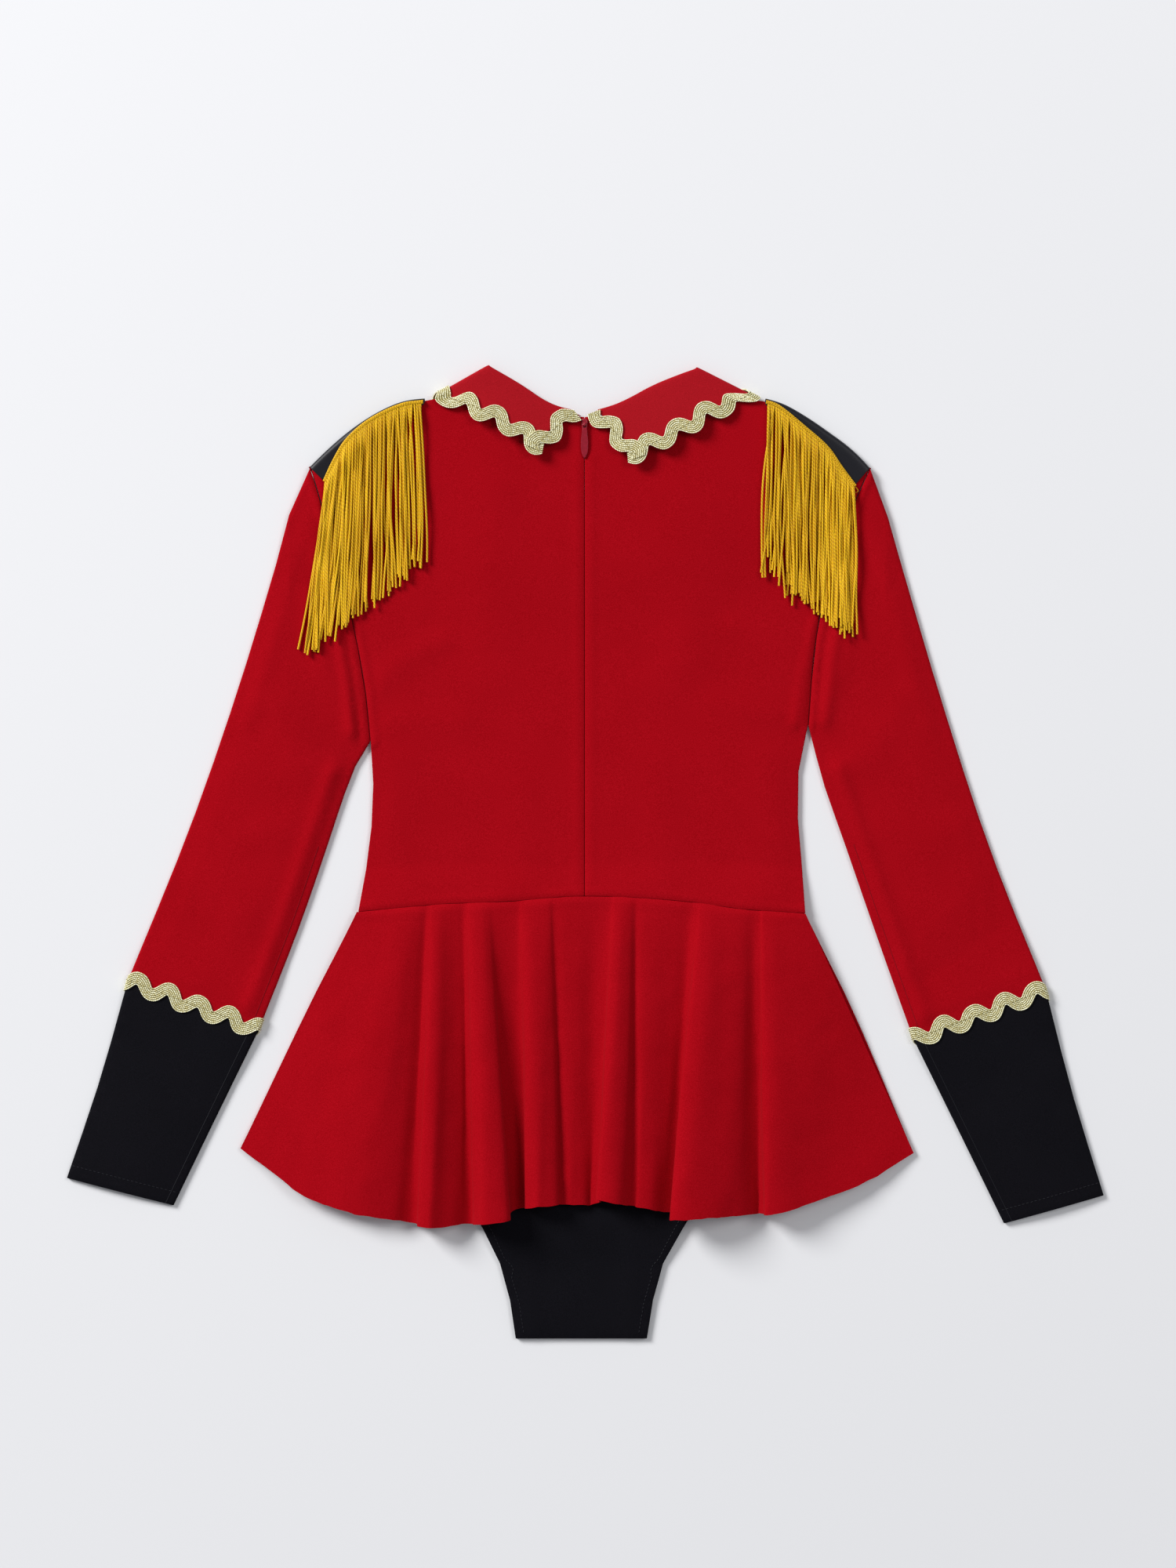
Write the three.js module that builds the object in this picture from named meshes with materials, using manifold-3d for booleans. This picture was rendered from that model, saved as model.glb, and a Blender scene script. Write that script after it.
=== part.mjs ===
// Child's ringmaster leotard, laid flat with its back up: red knit bodice, sleeves and peplum,
// black cuffs and briefs, satin shoulder straps with gold fringe, and a two-part collar edged
// with gold ric-rac. Millimetres, +X to the right, +Y towards the neck, +Z up from the floor.
import * as THREE from "three";
import { mergeVertices } from "three/addons/utils/BufferGeometryUtils.js";
import Module from "manifold-3d";

const wasm = await Module();
wasm.setup();

// Cloth and the way its layers lie on each other.
const CLOTH = 1.2;
const HALF = CLOTH / 2;
const GAP = 0.3;
const LAYER = CLOTH + GAP;
const FLOOR_LAYER = HALF;
const BRAID_THICK = 0.9;
const BRAID_LIFT = BRAID_THICK + GAP;
const CENTRE_X = -0.5;

// How far each hidden thing under the garment lifts it, and over what distance it sinks back.
const COLLAR_LIFT = LAYER + BRAID_LIFT;
const COLLAR_ZONE = { near: 40, far: 120 };
const STRAP_LIFT = LAYER;
const STRAP_ZONE = { near: 16, far: 62 };
const SEAM_ZONE = { near: 18, far: 44 };
const WAIST_RISE = 2 * LAYER;
const WAIST_RAMP = 32;
const SLEEVE_PUFF = 1.6;

// Ric-rac: a flat braid woven in waves.
const BRAID_WIDTH = 8.6;
const BRAID_WAVE = 21.5;
const BRAID_SWING = 3.9;
const STEPS_PER_WAVE = 6;
const BRAID_REACH = BRAID_WIDTH / 2 + BRAID_SWING + 1.5;

// Fringe: strands in two layers, fused to a narrow heading.
const STRANDS = 46;
const STRAND_RADIUS = 0.95;
const STRAND_SIDES = 3;
const STRAND_STEPS = 3;
const HEADING_WIDTH = 2.4;

const RED = { color: 0xb00d1c, roughness: 0.85, metalness: 0 };
const BLACK = { color: 0x121216, roughness: 0.75, metalness: 0 };
const SATIN = { color: 0x17171f, roughness: 0.4, metalness: 0 };
const BRAID_GOLD = { color: 0xcdc68a, roughness: 0.35, metalness: 0.75 };
const FRINGE_GOLD = { color: 0xc89a14, roughness: 0.55, metalness: 0 };
const ZIP_RED = { color: 0xb8283c, roughness: 0.3, metalness: 0.1 };

const group = new THREE.Group();

function addMesh(name, geometry, finish) {
  const mesh = new THREE.Mesh(geometry, new THREE.MeshStandardMaterial(finish));
  mesh.name = name;
  group.add(mesh);
  return mesh;
}

// Small helpers for numbers and curves.
const mix = (a, b, t) => a + (b - a) * t;
const at = (x, y, z = 0) => new THREE.Vector3(x, y, z);
const range = (count) => Array.from({ length: count }, (_, i) => i);

function smooth(from, to, value) {
  const t = Math.min(1, Math.max(0, (value - from) / (to - from)));
  return t * t * (3 - 2 * t);
}

function curve(points) {
  return new THREE.CatmullRomCurve3(points.map(([x, y]) => at(x, y)), false, "centripetal");
}

function sampled(line, steps) {
  return range(steps + 1).map((i) => line.getPointAt(i / steps));
}

// Points of several stretches in a row, each with its own number of steps.
function joined(...stretches) {
  const points = [];
  for (const [line, steps] of stretches) {
    points.push(...sampled(line, steps).slice(points.length ? 1 : 0));
  }
  return points;
}

function distanceTo(line, x, y) {
  let best = Infinity;
  for (let i = 0; i + 1 < line.length; i++) {
    const [ax, ay] = line[i];
    const [bx, by] = line[i + 1];
    const along = ((x - ax) * (bx - ax) + (y - ay) * (by - ay)) / ((bx - ax) ** 2 + (by - ay) ** 2);
    const t = Math.min(1, Math.max(0, along));
    best = Math.min(best, Math.hypot(x - mix(ax, bx, t), y - mix(ay, by, t)));
  }
  return best;
}

// A closed wall round a grid of middle points: two skins, half a thickness either side of it,
// joined round the rim. A node may carry its own normal n, and a ring's columns close on
// themselves, as on a tube.
function wall(grid, thickness, ring = false) {
  const rows = grid.length;
  const cols = grid[0].length;
  const wrap = (j) => (ring ? (j + cols) % cols : Math.min(cols - 1, Math.max(0, j)));
  const clampRow = (i) => Math.min(rows - 1, Math.max(0, i));
  const normalAt = (i, j) => {
    const down = grid[clampRow(i + 1)][j].clone().sub(grid[clampRow(i - 1)][j]);
    const across = grid[i][wrap(j + 1)].clone().sub(grid[i][wrap(j - 1)]);
    return down.cross(across).normalize();
  };
  const positions = [];
  for (const side of [1, -1]) {
    for (let i = 0; i < rows; i++) {
      for (let j = 0; j < cols; j++) {
        const node = grid[i][j];
        const normal = node.n ?? normalAt(i, j);
        const point = node.clone().addScaledVector(normal, (side * thickness) / 2);
        positions.push(point.x, point.y, point.z);
      }
    }
  }
  const index = [];
  const skin = rows * cols;
  const id = (side, i, j) => side * skin + i * cols + wrap(j);
  const quad = (a, b, c, d) => index.push(a, b, c, a, c, d);
  const lastCol = ring ? cols : cols - 1;
  for (let i = 0; i < rows - 1; i++) {
    for (let j = 0; j < lastCol; j++) {
      quad(id(0, i, j), id(0, i + 1, j), id(0, i + 1, j + 1), id(0, i, j + 1));
      quad(id(1, i, j), id(1, i, j + 1), id(1, i + 1, j + 1), id(1, i + 1, j));
    }
  }
  for (let j = 0; j < lastCol; j++) {
    quad(id(0, 0, j), id(0, 0, j + 1), id(1, 0, j + 1), id(1, 0, j));
    quad(id(0, rows - 1, j), id(1, rows - 1, j), id(1, rows - 1, j + 1), id(0, rows - 1, j + 1));
  }
  if (!ring) {
    for (let i = 0; i < rows - 1; i++) {
      quad(id(0, i, 0), id(1, i, 0), id(1, i + 1, 0), id(0, i + 1, 0));
      quad(id(0, i, cols - 1), id(0, i + 1, cols - 1), id(1, i + 1, cols - 1), id(1, i, cols - 1));
    }
  }
  return outward(positions, index);
}

// A geometry from its points and triangles, turned so that its faces point out.
function outward(positions, index) {
  const corner = (k) => at(positions[3 * k], positions[3 * k + 1], positions[3 * k + 2]);
  let volume = 0;
  for (let k = 0; k < index.length; k += 3) {
    volume += corner(index[k]).dot(corner(index[k + 1]).cross(corner(index[k + 2])));
  }
  if (volume < 0) {
    index.reverse();
  }
  const geometry = new THREE.BufferGeometry();
  geometry.setAttribute("position", new THREE.Float32BufferAttribute(positions, 3));
  geometry.setIndex(index);
  geometry.computeVertexNormals();
  return geometry;
}

function toSolid(geometry) {
  const bare = geometry.clone();
  bare.deleteAttribute("normal");
  bare.deleteAttribute("uv");
  const merged = mergeVertices(bare, 1e-4);
  return new wasm.Manifold(new wasm.Mesh({
    numProp: 3,
    vertProperties: new Float32Array(merged.attributes.position.array),
    triVerts: new Uint32Array(merged.index.array),
  }));
}

function fromSolid(solid) {
  const mesh = solid.getMesh();
  return outward(Array.from(mesh.vertProperties), Array.from(mesh.triVerts));
}

const joinAll = (geometries) => fromSolid(geometries.map(toSolid).reduce((a, b) => a.add(b)));

// The pattern, one set of lines for each side. The garment was laid by hand, so its two
// sides differ a little.
const WAIST = curve([
  [-150.5, -39.5], [-92.5, -34.3], [-52.8, -32.8], [-0.5, -29.1],
  [72.5, -33.3], [100, -37.4], [145.9, -40.6],
]);
const WAIST_LEFT = -150.5;
const WAIST_RIGHT = 145.9;

// The waist arc's height at a given x, found by halving.
function waistY(x) {
  let low = 0;
  let high = 1;
  for (let i = 0; i < 24; i++) {
    const middle = (low + high) / 2;
    if (WAIST.getPoint(middle).x < x) {
      low = middle;
    } else {
      high = middle;
    }
  }
  return WAIST.getPoint((low + high) / 2).y;
}

const NECK_FRONT_DROP = 232;
const BODICE = {
  left: {
    hand: -1,
    sideSeam: [[-150.5, -39.5], [-144.8, -6.8], [-141.5, 22], [-140.8, 48], [-142.4, 73.8]],
    armhole: [[-142.4, 73.8], [-145.9, 108.7], [-154.7, 155.5], [-168, 208], [-181.2, 252.9]],
    shoulder: [[-181.2, 252.9], [-158, 274.6], [-141.5, 286.4], [-119, 296.5], [-90, 302], [-60.6, 310.2]],
    neckBack: [[-60.6, 310.2], [-46, 303], [-31, 295], [-16, 289.8], [CENTRE_X, 288.5]],
    neckFront: [[-60.6, 310.2], [-46, 272], [-28, 246], [-3, NECK_FRONT_DROP]],
  },
  right: {
    hand: 1,
    sideSeam: [[145.9, -40.6], [143.6, -6.8], [141.3, 19.2], [140.9, 48], [147.7, 84.2]],
    armhole: [[147.7, 84.2], [151.5, 133], [160, 180], [173, 220], [187.3, 252.6]],
    shoulder: [[187.3, 252.6], [170, 269], [151, 282.6], [127, 296.5], [98, 302], [66, 309.2]],
    neckBack: [[66, 309.2], [50, 302.5], [33, 295], [16, 289.8], [CENTRE_X, 288.5]],
    neckFront: [[66, 309.2], [50, 272], [29, 246], [2, NECK_FRONT_DROP]],
  },
};

// Each arm's two folded edges, a row for each station from the armhole to the wrist.
const SLEEVE_ROWS = {
  left: [
    { outerX: -182.6, outerY: 255.0, innerX: -142.7, innerY: 73.4 },
    { outerX: -192.1, outerY: 237.6, innerX: -148.2, innerY: 66 },
    { outerX: -205.1, outerY: 191.9, innerX: -157.3, innerY: 45.2 },
    { outerX: -230.1, outerY: 109.7, innerX: -171.9, innerY: 2.1 },
    { outerX: -261.8, outerY: 18.2, innerX: -189.0, innerY: -47.3 },
    { outerX: -303.4, outerY: -84.8, innerX: -216.4, innerY: -117.5 },
  ],
  right: [
    { outerX: 188.9, outerY: 254.8, innerX: 148.1, innerY: 83.8 },
    { outerX: 196.3, outerY: 236.6, innerX: 150.6, innerY: 74.4 },
    { outerX: 210.9, outerY: 187.2, innerX: 157.3, innerY: 48.4 },
    { outerX: 235.3, outerY: 104.5, innerX: 172.9, innerY: 3.6 },
    { outerX: 268.1, outerY: 3.6, innerX: 192.7, innerY: -53.6 },
    { outerX: 305.5, outerY: -91.0, innerX: 217.6, innerY: -123.8 },
  ],
};
const CUFF_ROWS = {
  left: [
    { outerX: -303.4, outerY: -84.8, innerX: -216.4, innerY: -117.5 },
    { outerX: -322.7, outerY: -152.4, innerX: -243.6, innerY: -173 },
    { outerX: -344.2, outerY: -216.3, innerX: -273.3, innerY: -234.5 },
  ],
  right: [
    { outerX: 305.5, outerY: -91.0, innerX: 217.6, innerY: -123.8 },
    { outerX: 324.2, outerY: -162.8, innerX: 247.3, innerY: -184 },
    { outerX: 344.2, outerY: -227.8, innerX: 277.9, innerY: -246.5 },
  ],
};

// Collar: neck seam, fold and outer edge of the upper leaf, and of the hidden front leaf.
const COLLAR = {
  left: {
    lean: [-0.6, 0.8],
    fold: [[-7.5, 292.3], [-22, 296], [-43, 309.3], [-63.3, 320.9]],
    edge: [[-31.5, 270.5], [-50.2, 282.9], [-72, 294.5], [-95.3, 302.7]],
    foldFront: [[-63.3, 320.9], [-49, 303.5], [-37, 276], [-21, 254], [-3, 241]],
    edgeFront: [[-95.3, 302.7], [-88, 268], [-62, 235], [-24.2, 217.9]],
  },
  right: {
    lean: [0.6, 0.8],
    fold: [[6.5, 292.3], [19.5, 295.6], [46, 309.2], [72.9, 319.6]],
    edge: [[32, 264.5], [55.6, 276.4], [82, 291.5], [107.3, 302.2]],
    foldFront: [[72.9, 319.6], [55, 303.5], [41, 276], [22, 254], [2, 241]],
    edgeFront: [[107.3, 302.2], [92, 268], [63, 235], [24, 217.9]],
  },
};

// Shoulder strap: its folded outer edge, and the line of the fringe heading sewn on it.
const STRAP_ROWS = {
  left: [
    { edgeX: -106.5, edgeY: 301.2, rootX: -107.4, rootY: 298.3 },
    { edgeX: -119.6, edgeY: 300.2, rootX: -121, rootY: 296.4 },
    { edgeX: -142.8, edgeY: 289.4, rootX: -143.5, rootY: 285.6 },
    { edgeX: -160, edgeY: 277.2, rootX: -158.3, rootY: 272.6 },
    { edgeX: -172, edgeY: 266.7, rootX: -165.8, rootY: 260.5 },
    { edgeX: -183.1, edgeY: 255.6, rootX: -172.8, rootY: 245.6 },
  ],
  right: [
    { edgeX: 119.6, edgeY: 301.2, rootX: 119.8, rootY: 298.3 },
    { edgeX: 127.5, edgeY: 299.8, rootX: 126.8, rootY: 295.8 },
    { edgeX: 151.6, edgeY: 286, rootX: 146, rootY: 280.6 },
    { edgeX: 164.5, edgeY: 276.8, rootX: 160.5, rootY: 267.6 },
    { edgeX: 177.5, edgeY: 267.4, rootX: 169.4, rootY: 255 },
    { edgeX: 189.2, edgeY: 254.9, rootX: 178.6, rootY: 242.6 },
  ],
};
const STRAP_UNDER_WIDTH = 12;
const STRAP_PAST_HEADING = 2.2;
const FRINGE = {
  left: { lengths: [105, 122, 128, 123, 118], leanAtNeck: 4.5, leanAtTip: -13.5 },
  right: { lengths: [108, 118, 114, 112, 96], leanAtNeck: -3, leanAtTip: 0.5 },
};

// Briefs: a row for each height, from the waist down to the crotch.
const BRIEFS_ROWS = [
  { y: -42, left: -149.5, right: 145.2 },
  { y: -95, left: -151, right: 149 },
  { y: -130, left: -138, right: 136 },
  { y: -165, left: -119, right: 117 },
  { y: -215, left: -88, right: 86 },
  { y: -246, left: -70.1, right: 67 },
  { y: -266, left: -59.3, right: 54.9 },
  { y: -288, left: -52.2, right: 46.3 },
  { y: -308.5, left: -47.9, right: 43.9 },
  { y: -322.8, left: -46.2, right: 40.9 },
];
const BRIEFS_REST = { from: -247, to: -266 };

// Peplum: its two side edges, and a row for each fold line from the left side to the right.
// A line starts at waistX on the waist seam, ends at hemX, hemY and stands lift high there.
const PEPLUM_SIDE = {
  left: [[-151.5, -41], [-177.1, -89.4], [-228.8, -196.6]],
  right: [[146, -42], [174.5, -98.3], [217.9, -199.7]],
};
const FOLD_LINES = [
  { waistX: -151.5, hemX: -228.8, hemY: -196.6, lift: 0 },
  { waistX: -140, hemX: -203, hemY: -215.5, lift: 2.5 },
  { waistX: -127, hemX: -172, hemY: -232.5, lift: 5 },
  { waistX: -114, hemX: -142, hemY: -241, lift: 4 },
  { waistX: -106, hemX: -116, hemY: -243.6, lift: 0.8 },
  { waistX: -103, hemX: -111.4, hemY: -246.8, lift: 5 },
  { waistX: -98, hemX: -101, hemY: -248.3, lift: 8 },
  { waistX: -92, hemX: -91.5, hemY: -247.4, lift: 5 },
  { waistX: -85, hemX: -81.5, hemY: -246, lift: 1 },
  { waistX: -77, hemX: -69, hemY: -246.2, lift: 6.5 },
  { waistX: -71, hemX: -58, hemY: -244.6, lift: 11.5 },
  { waistX: -66, hemX: -48.8, hemY: -242.3, lift: 10 },
  { waistX: -61, hemX: -51.5, hemY: -239, lift: 5 },
  { waistX: -50, hemX: -46, hemY: -236, lift: 0.4 },
  { waistX: -40, hemX: -37.5, hemY: -234.7, lift: 5 },
  { waistX: -34.5, hemX: -29, hemY: -233.8, lift: 9 },
  { waistX: -27, hemX: -18.2, hemY: -233, lift: 7 },
  { waistX: -22, hemX: -15.6, hemY: -233, lift: 3 },
  { waistX: -12, hemX: -6, hemY: -233.4, lift: 4.6 },
  { waistX: 2, hemX: 4.5, hemY: -233.8, lift: 0.4 },
  { waistX: 15, hemX: 10.6, hemY: -230.5, lift: 4.5 },
  { waistX: 19.5, hemX: 8.2, hemY: -228.8, lift: 8.5 },
  { waistX: 24, hemX: 17, hemY: -230.6, lift: 10.5 },
  { waistX: 29.5, hemX: 27.5, hemY: -233, lift: 7 },
  { waistX: 34, hemX: 31.6, hemY: -233.6, lift: 3.6 },
  { waistX: 47, hemX: 42, hemY: -235.9, lift: 6 },
  { waistX: 60, hemX: 53, hemY: -237.8, lift: 2.4 },
  { waistX: 70, hemX: 60.4, hemY: -238.8, lift: 0.6 },
  { waistX: 74, hemX: 59.6, hemY: -240.4, lift: 6 },
  { waistX: 77.5, hemX: 55.6, hemY: -242.3, lift: 10.8 },
  { waistX: 82.5, hemX: 67, hemY: -241.8, lift: 12.6 },
  { waistX: 93, hemX: 88, hemY: -240.8, lift: 8 },
  { waistX: 104, hemX: 105, hemY: -240, lift: 3.5 },
  { waistX: 111, hemX: 117.6, hemY: -239.6, lift: 0.5 },
  { waistX: 115, hemX: 120.6, hemY: -239.3, lift: 5 },
  { waistX: 118.5, hemX: 118.8, hemY: -239.6, lift: 8.5 },
  { waistX: 123, hemX: 128, hemY: -238.4, lift: 9.4 },
  { waistX: 131, hemX: 152, hemY: -230.8, lift: 6.5 },
  { waistX: 138, hemX: 182, hemY: -220.2, lift: 3.5 },
  { waistX: 146, hemX: 217.9, hemY: -199.7, lift: 0 },
];
const FRONT_PEPLUM_SHORTER = 5;

// Zip: a slider with a ring, and a drop-shaped pull whose bar turns in the ring.
const ZIP = {
  x: CENTRE_X, ringY: 283.2, baseWidth: 3.8, baseFront: 2.4, baseBack: 4.2, baseThick: 1.2,
  baseBevel: 1, ringInner: 0.85, ringOuter: 1.5, ringWidth: 1.2, barRadius: 0.5,
  pullThick: 1, pullTilt: 3.8,
};
// The pull's outline: half its width at each distance from the bar.
const PULL_ROWS = [
  { along: 0, half: 1.6 },
  { along: 3.1, half: 1.6 },
  { along: 6.5, half: 1.95 },
  { along: 10.5, half: 2.35 },
  { along: 14.5, half: 2.45 },
  { along: 18, half: 2.1 },
  { along: 20.5, half: 1.3 },
  { along: 22, half: 0.4 },
];

// Heights. The lower layer lies on the floor but where something is under it, and the upper
// layer lies on the lower one.
const COLLAR_SPINE = {
  left: [[-92, 298], [-60, 296], [-48, 262], [-20, 238]],
  right: [[104, 298], [66, 296], [50, 262], [20, 238]],
};

const zone = (distance, { near, far }) => 1 - smooth(near, far, distance);

function lift(x, y) {
  const side = x < CENTRE_X ? "left" : "right";
  const seam = SLEEVE_ROWS[side].at(-1);
  const seamLine = [[seam.outerX, seam.outerY], [seam.innerX, seam.innerY]];
  return Math.max(
    COLLAR_LIFT * zone(distanceTo(COLLAR_SPINE[side], x, y), COLLAR_ZONE),
    STRAP_LIFT * zone(distanceTo(BODICE[side].shoulder, x, y), STRAP_ZONE),
    BRAID_LIFT * zone(distanceTo(seamLine, x, y), SEAM_ZONE),
  );
}

const lowerZ = (x, y) => FLOOR_LAYER + lift(x, y);
const waistRise = (x, y) => WAIST_RISE * (1 - smooth(0, WAIST_RAMP, y - waistY(x)));
const upperZ = (x, y) => lowerZ(x, y) + LAYER + waistRise(x, y);
const UP = at(0, 0, 1);

// A flat panel between four sampled edges, its points raised by a height function.
function panel({ bottom, top, left, right }, height) {
  return left.map((_, i) => bottom.map((_, j) => {
    const v = i / (left.length - 1);
    const u = j / (bottom.length - 1);
    const blend = (axis) => mix(bottom[j][axis], top[j][axis], v) + mix(left[i][axis], right[i][axis], u)
      - mix(mix(bottom[0][axis], bottom.at(-1)[axis], u), mix(top[0][axis], top.at(-1)[axis], u), v);
    const x = blend("x");
    const y = blend("y");
    const node = at(x, y, height(x, y));
    node.n = UP;
    return node;
  }));
}

const waistStretch = (fromX, toX, steps) => range(steps + 1).map((i) => {
  const x = mix(fromX, toX, i / steps);
  return at(x, waistY(x));
});

// Bodice. Each side's edge runs up the side seam and the armhole, its top along the shoulder
// and the neck.
const SEAM_STEPS = 4;
const ARMHOLE_STEPS = 12;
const SHOULDER_STEPS = 5;
const NECK_STEPS = 5;

function sideEdge({ sideSeam, armhole }) {
  return joined([curve(sideSeam), SEAM_STEPS], [curve(armhole), ARMHOLE_STEPS]);
}

function backPanel(side) {
  const half = BODICE[side];
  const innerX = CENTRE_X + (half.hand * GAP) / 2;
  const outer = sideEdge(half);
  const top = joined([curve(half.shoulder), SHOULDER_STEPS], [curve(half.neckBack), NECK_STEPS]);
  top.at(-1).x = innerX;
  const bottom = waistStretch(outer[0].x, innerX, SHOULDER_STEPS + NECK_STEPS);
  const inner = outer.map((_, i) => at(innerX, mix(bottom.at(-1).y, top.at(-1).y, i / (outer.length - 1))));
  return wall(panel({ bottom, top, left: outer, right: inner }, upperZ), CLOTH);
}

function frontPanel() {
  const { left, right } = BODICE;
  const rightNeck = joined([curve(right.shoulder), SHOULDER_STEPS], [curve(right.neckFront), NECK_STEPS]);
  const leftNeck = joined([curve(left.shoulder), SHOULDER_STEPS], [curve(left.neckFront), NECK_STEPS]);
  const top = [...leftNeck, ...rightNeck.reverse()];
  const bottom = waistStretch(left.sideSeam[0][0], right.sideSeam[0][0], top.length - 1);
  return wall(panel({ bottom, top, left: sideEdge(left), right: sideEdge(right) }, lowerZ), CLOTH);
}

addMesh("front_body", frontPanel(), RED);
addMesh("back_left", backPanel("left"), RED);
addMesh("back_right", backPanel("right"), RED);

// Arms. A section runs from the inner edge to the outer one; across it goes the floor wall,
// the outer fold, the top wall and the inner fold.
const FOLD_RADIUS = LAYER / 2;
const EDGE_INSET = FOLD_RADIUS + HALF;
const ARM_ACROSS = 6;
const FOLD_ANGLES = [Math.PI / 4, Math.PI / 2, (3 * Math.PI) / 4];

function armEdges(rows) {
  return {
    outer: curve(rows.map((row) => [row.outerX, row.outerY])),
    inner: curve(rows.map((row) => [row.innerX, row.innerY])),
  };
}

// The bow of the armhole away from the straight line between its ends.
function armholeBow(side, w) {
  const seam = curve(BODICE[side].armhole);
  return seam.getPointAt(w).sub(at(0, 0).lerpVectors(seam.getPointAt(0), seam.getPointAt(1), w));
}

// One section of an arm between its two folded edges, as a closed loop of nodes with normals.
function armLoop(side, inner, outer, { bow = 0, puff = 0, offset = 0 } = {}) {
  const across = outer.clone().sub(inner).normalize();
  inner.addScaledVector(across, EDGE_INSET);
  outer.addScaledVector(across, -EDGE_INSET);
  const flat = range(ARM_ACROSS + 1).map((i) => {
    const w = i / ARM_ACROSS;
    const point = inner.clone().lerp(outer, w);
    return bow ? point.addScaledVector(armholeBow(side, w), bow) : point;
  });
  const node = (point, z, normal) => {
    const placed = at(point.x, point.y, z).addScaledVector(normal, offset);
    placed.n = normal;
    return placed;
  };
  const turn = (point, outwards) => FOLD_ANGLES.map((angle) => {
    const normal = across.clone().multiplyScalar(outwards * Math.sin(angle));
    normal.z = -outwards * Math.cos(angle);
    const centre = lowerZ(point.x, point.y) + FOLD_RADIUS;
    const onFold = point.clone().addScaledVector(normal, FOLD_RADIUS);
    return node(onFold, centre + normal.z * FOLD_RADIUS, normal);
  });
  const topZ = (point, w) => lowerZ(point.x, point.y) + LAYER + puff * Math.sin(Math.PI * w);
  return [
    ...flat.map((point) => node(point, lowerZ(point.x, point.y), at(0, 0, -1))),
    ...turn(flat.at(-1), 1),
    ...flat.map((point, i) => node(point, topZ(point, i / ARM_ACROSS), UP)).reverse(),
    ...turn(flat[0], -1),
  ];
}

// A sleeve or cuff: sections at even steps, and one more beside the braid at its seam, so that
// the tube lies level under the whole braid.
function armTube(side, rows, steps, { bowAtStart = 0, puffAt, seamAtEnd }) {
  const edges = armEdges(rows);
  const beside = BRAID_REACH / edges.inner.getLength();
  const even = range(steps + 1).map((i) => i / steps);
  const stations = even.map((t) => (seamAtEnd ? t * (1 - beside) : beside + t * (1 - beside)));
  const all = seamAtEnd ? [...stations, 1] : [0, ...stations];
  return wall(all.map((t) => armLoop(side, edges.inner.getPointAt(t), edges.outer.getPointAt(t), {
    bow: bowAtStart * (1 - t) ** 3,
    puff: puffAt(t),
  })), CLOTH, true);
}

// Both arms' rows stop half a gap short of the seam they share.
function shortened(rows, atEnd) {
  const copy = rows.map((row) => ({ ...row }));
  const [seam, next] = atEnd ? [copy.at(-1), copy.at(-2)] : [copy[0], copy[1]];
  for (const edge of ["outer", "inner"]) {
    const dx = next[`${edge}X`] - seam[`${edge}X`];
    const dy = next[`${edge}Y`] - seam[`${edge}Y`];
    const part = GAP / 2 / Math.hypot(dx, dy);
    seam[`${edge}X`] += dx * part;
    seam[`${edge}Y`] += dy * part;
  }
  return copy;
}

const SLEEVE_STEPS = 10;
const CUFF_STEPS = 4;
const sleevePuff = (t) => SLEEVE_PUFF * smooth(0, 0.3, t) * (1 - smooth(0.75, 0.9, t));
const cuffPuff = (t) => SLEEVE_PUFF * smooth(0.2, 0.6, t);

// The braid round the cuff seam: a ring that follows the tube's section there, in waves.
function cuffBraid(side) {
  const sleeve = armEdges(SLEEVE_ROWS[side]);
  const cuff = armEdges(CUFF_ROWS[side]);
  const offset = HALF + GAP + BRAID_THICK / 2;
  // The point of a folded edge at a distance from the seam, up the sleeve or down the cuff.
  const edgeAt = (edge, distance) => (distance < 0
    ? sleeve[edge].getPointAt(1 + distance / sleeve[edge].getLength())
    : cuff[edge].getPointAt(distance / cuff[edge].getLength()));
  const loopAt = (distance) => (
    armLoop(side, edgeAt("inner", distance), edgeAt("outer", distance), { offset })
  );
  const seamLoop = loopAt(0);
  const stations = [];
  let travelled = 0;
  for (const [i, node] of seamLoop.entries()) {
    const stretch = node.distanceTo(seamLoop[(i + 1) % seamLoop.length]);
    const parts = Math.max(1, Math.round((stretch / BRAID_WAVE) * STEPS_PER_WAVE));
    for (const k of range(parts)) {
      stations.push({ i, part: k / parts, round: travelled + (stretch * k) / parts });
    }
    travelled += stretch;
  }
  const waves = Math.round(travelled / BRAID_WAVE);
  return wall([-1, 1].map((edge) => stations.map(({ i, part, round }) => {
    const wave = BRAID_SWING * Math.sin((2 * Math.PI * waves * round) / travelled);
    const loop = loopAt(wave + (edge * BRAID_WIDTH) / 2);
    const next = loop[(i + 1) % loop.length];
    const node = loop[i].clone().lerp(next, part);
    node.n = loop[i].n.clone().lerp(next.n, part).normalize();
    return node;
  })), BRAID_THICK, true);
}

for (const side of ["left", "right"]) {
  const sleeve = shortened(SLEEVE_ROWS[side], true);
  const cuff = shortened(CUFF_ROWS[side], false);
  const sleeveForm = { bowAtStart: 1, puffAt: sleevePuff, seamAtEnd: true };
  addMesh(`sleeve_${side}`, armTube(side, sleeve, SLEEVE_STEPS, sleeveForm), RED);
  addMesh(`cuff_${side}`, armTube(side, cuff, CUFF_STEPS, { puffAt: cuffPuff, seamAtEnd: false }), BLACK);
  addMesh(`cuff_trim_${side}`, cuffBraid(side), BRAID_GOLD);
}

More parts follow.
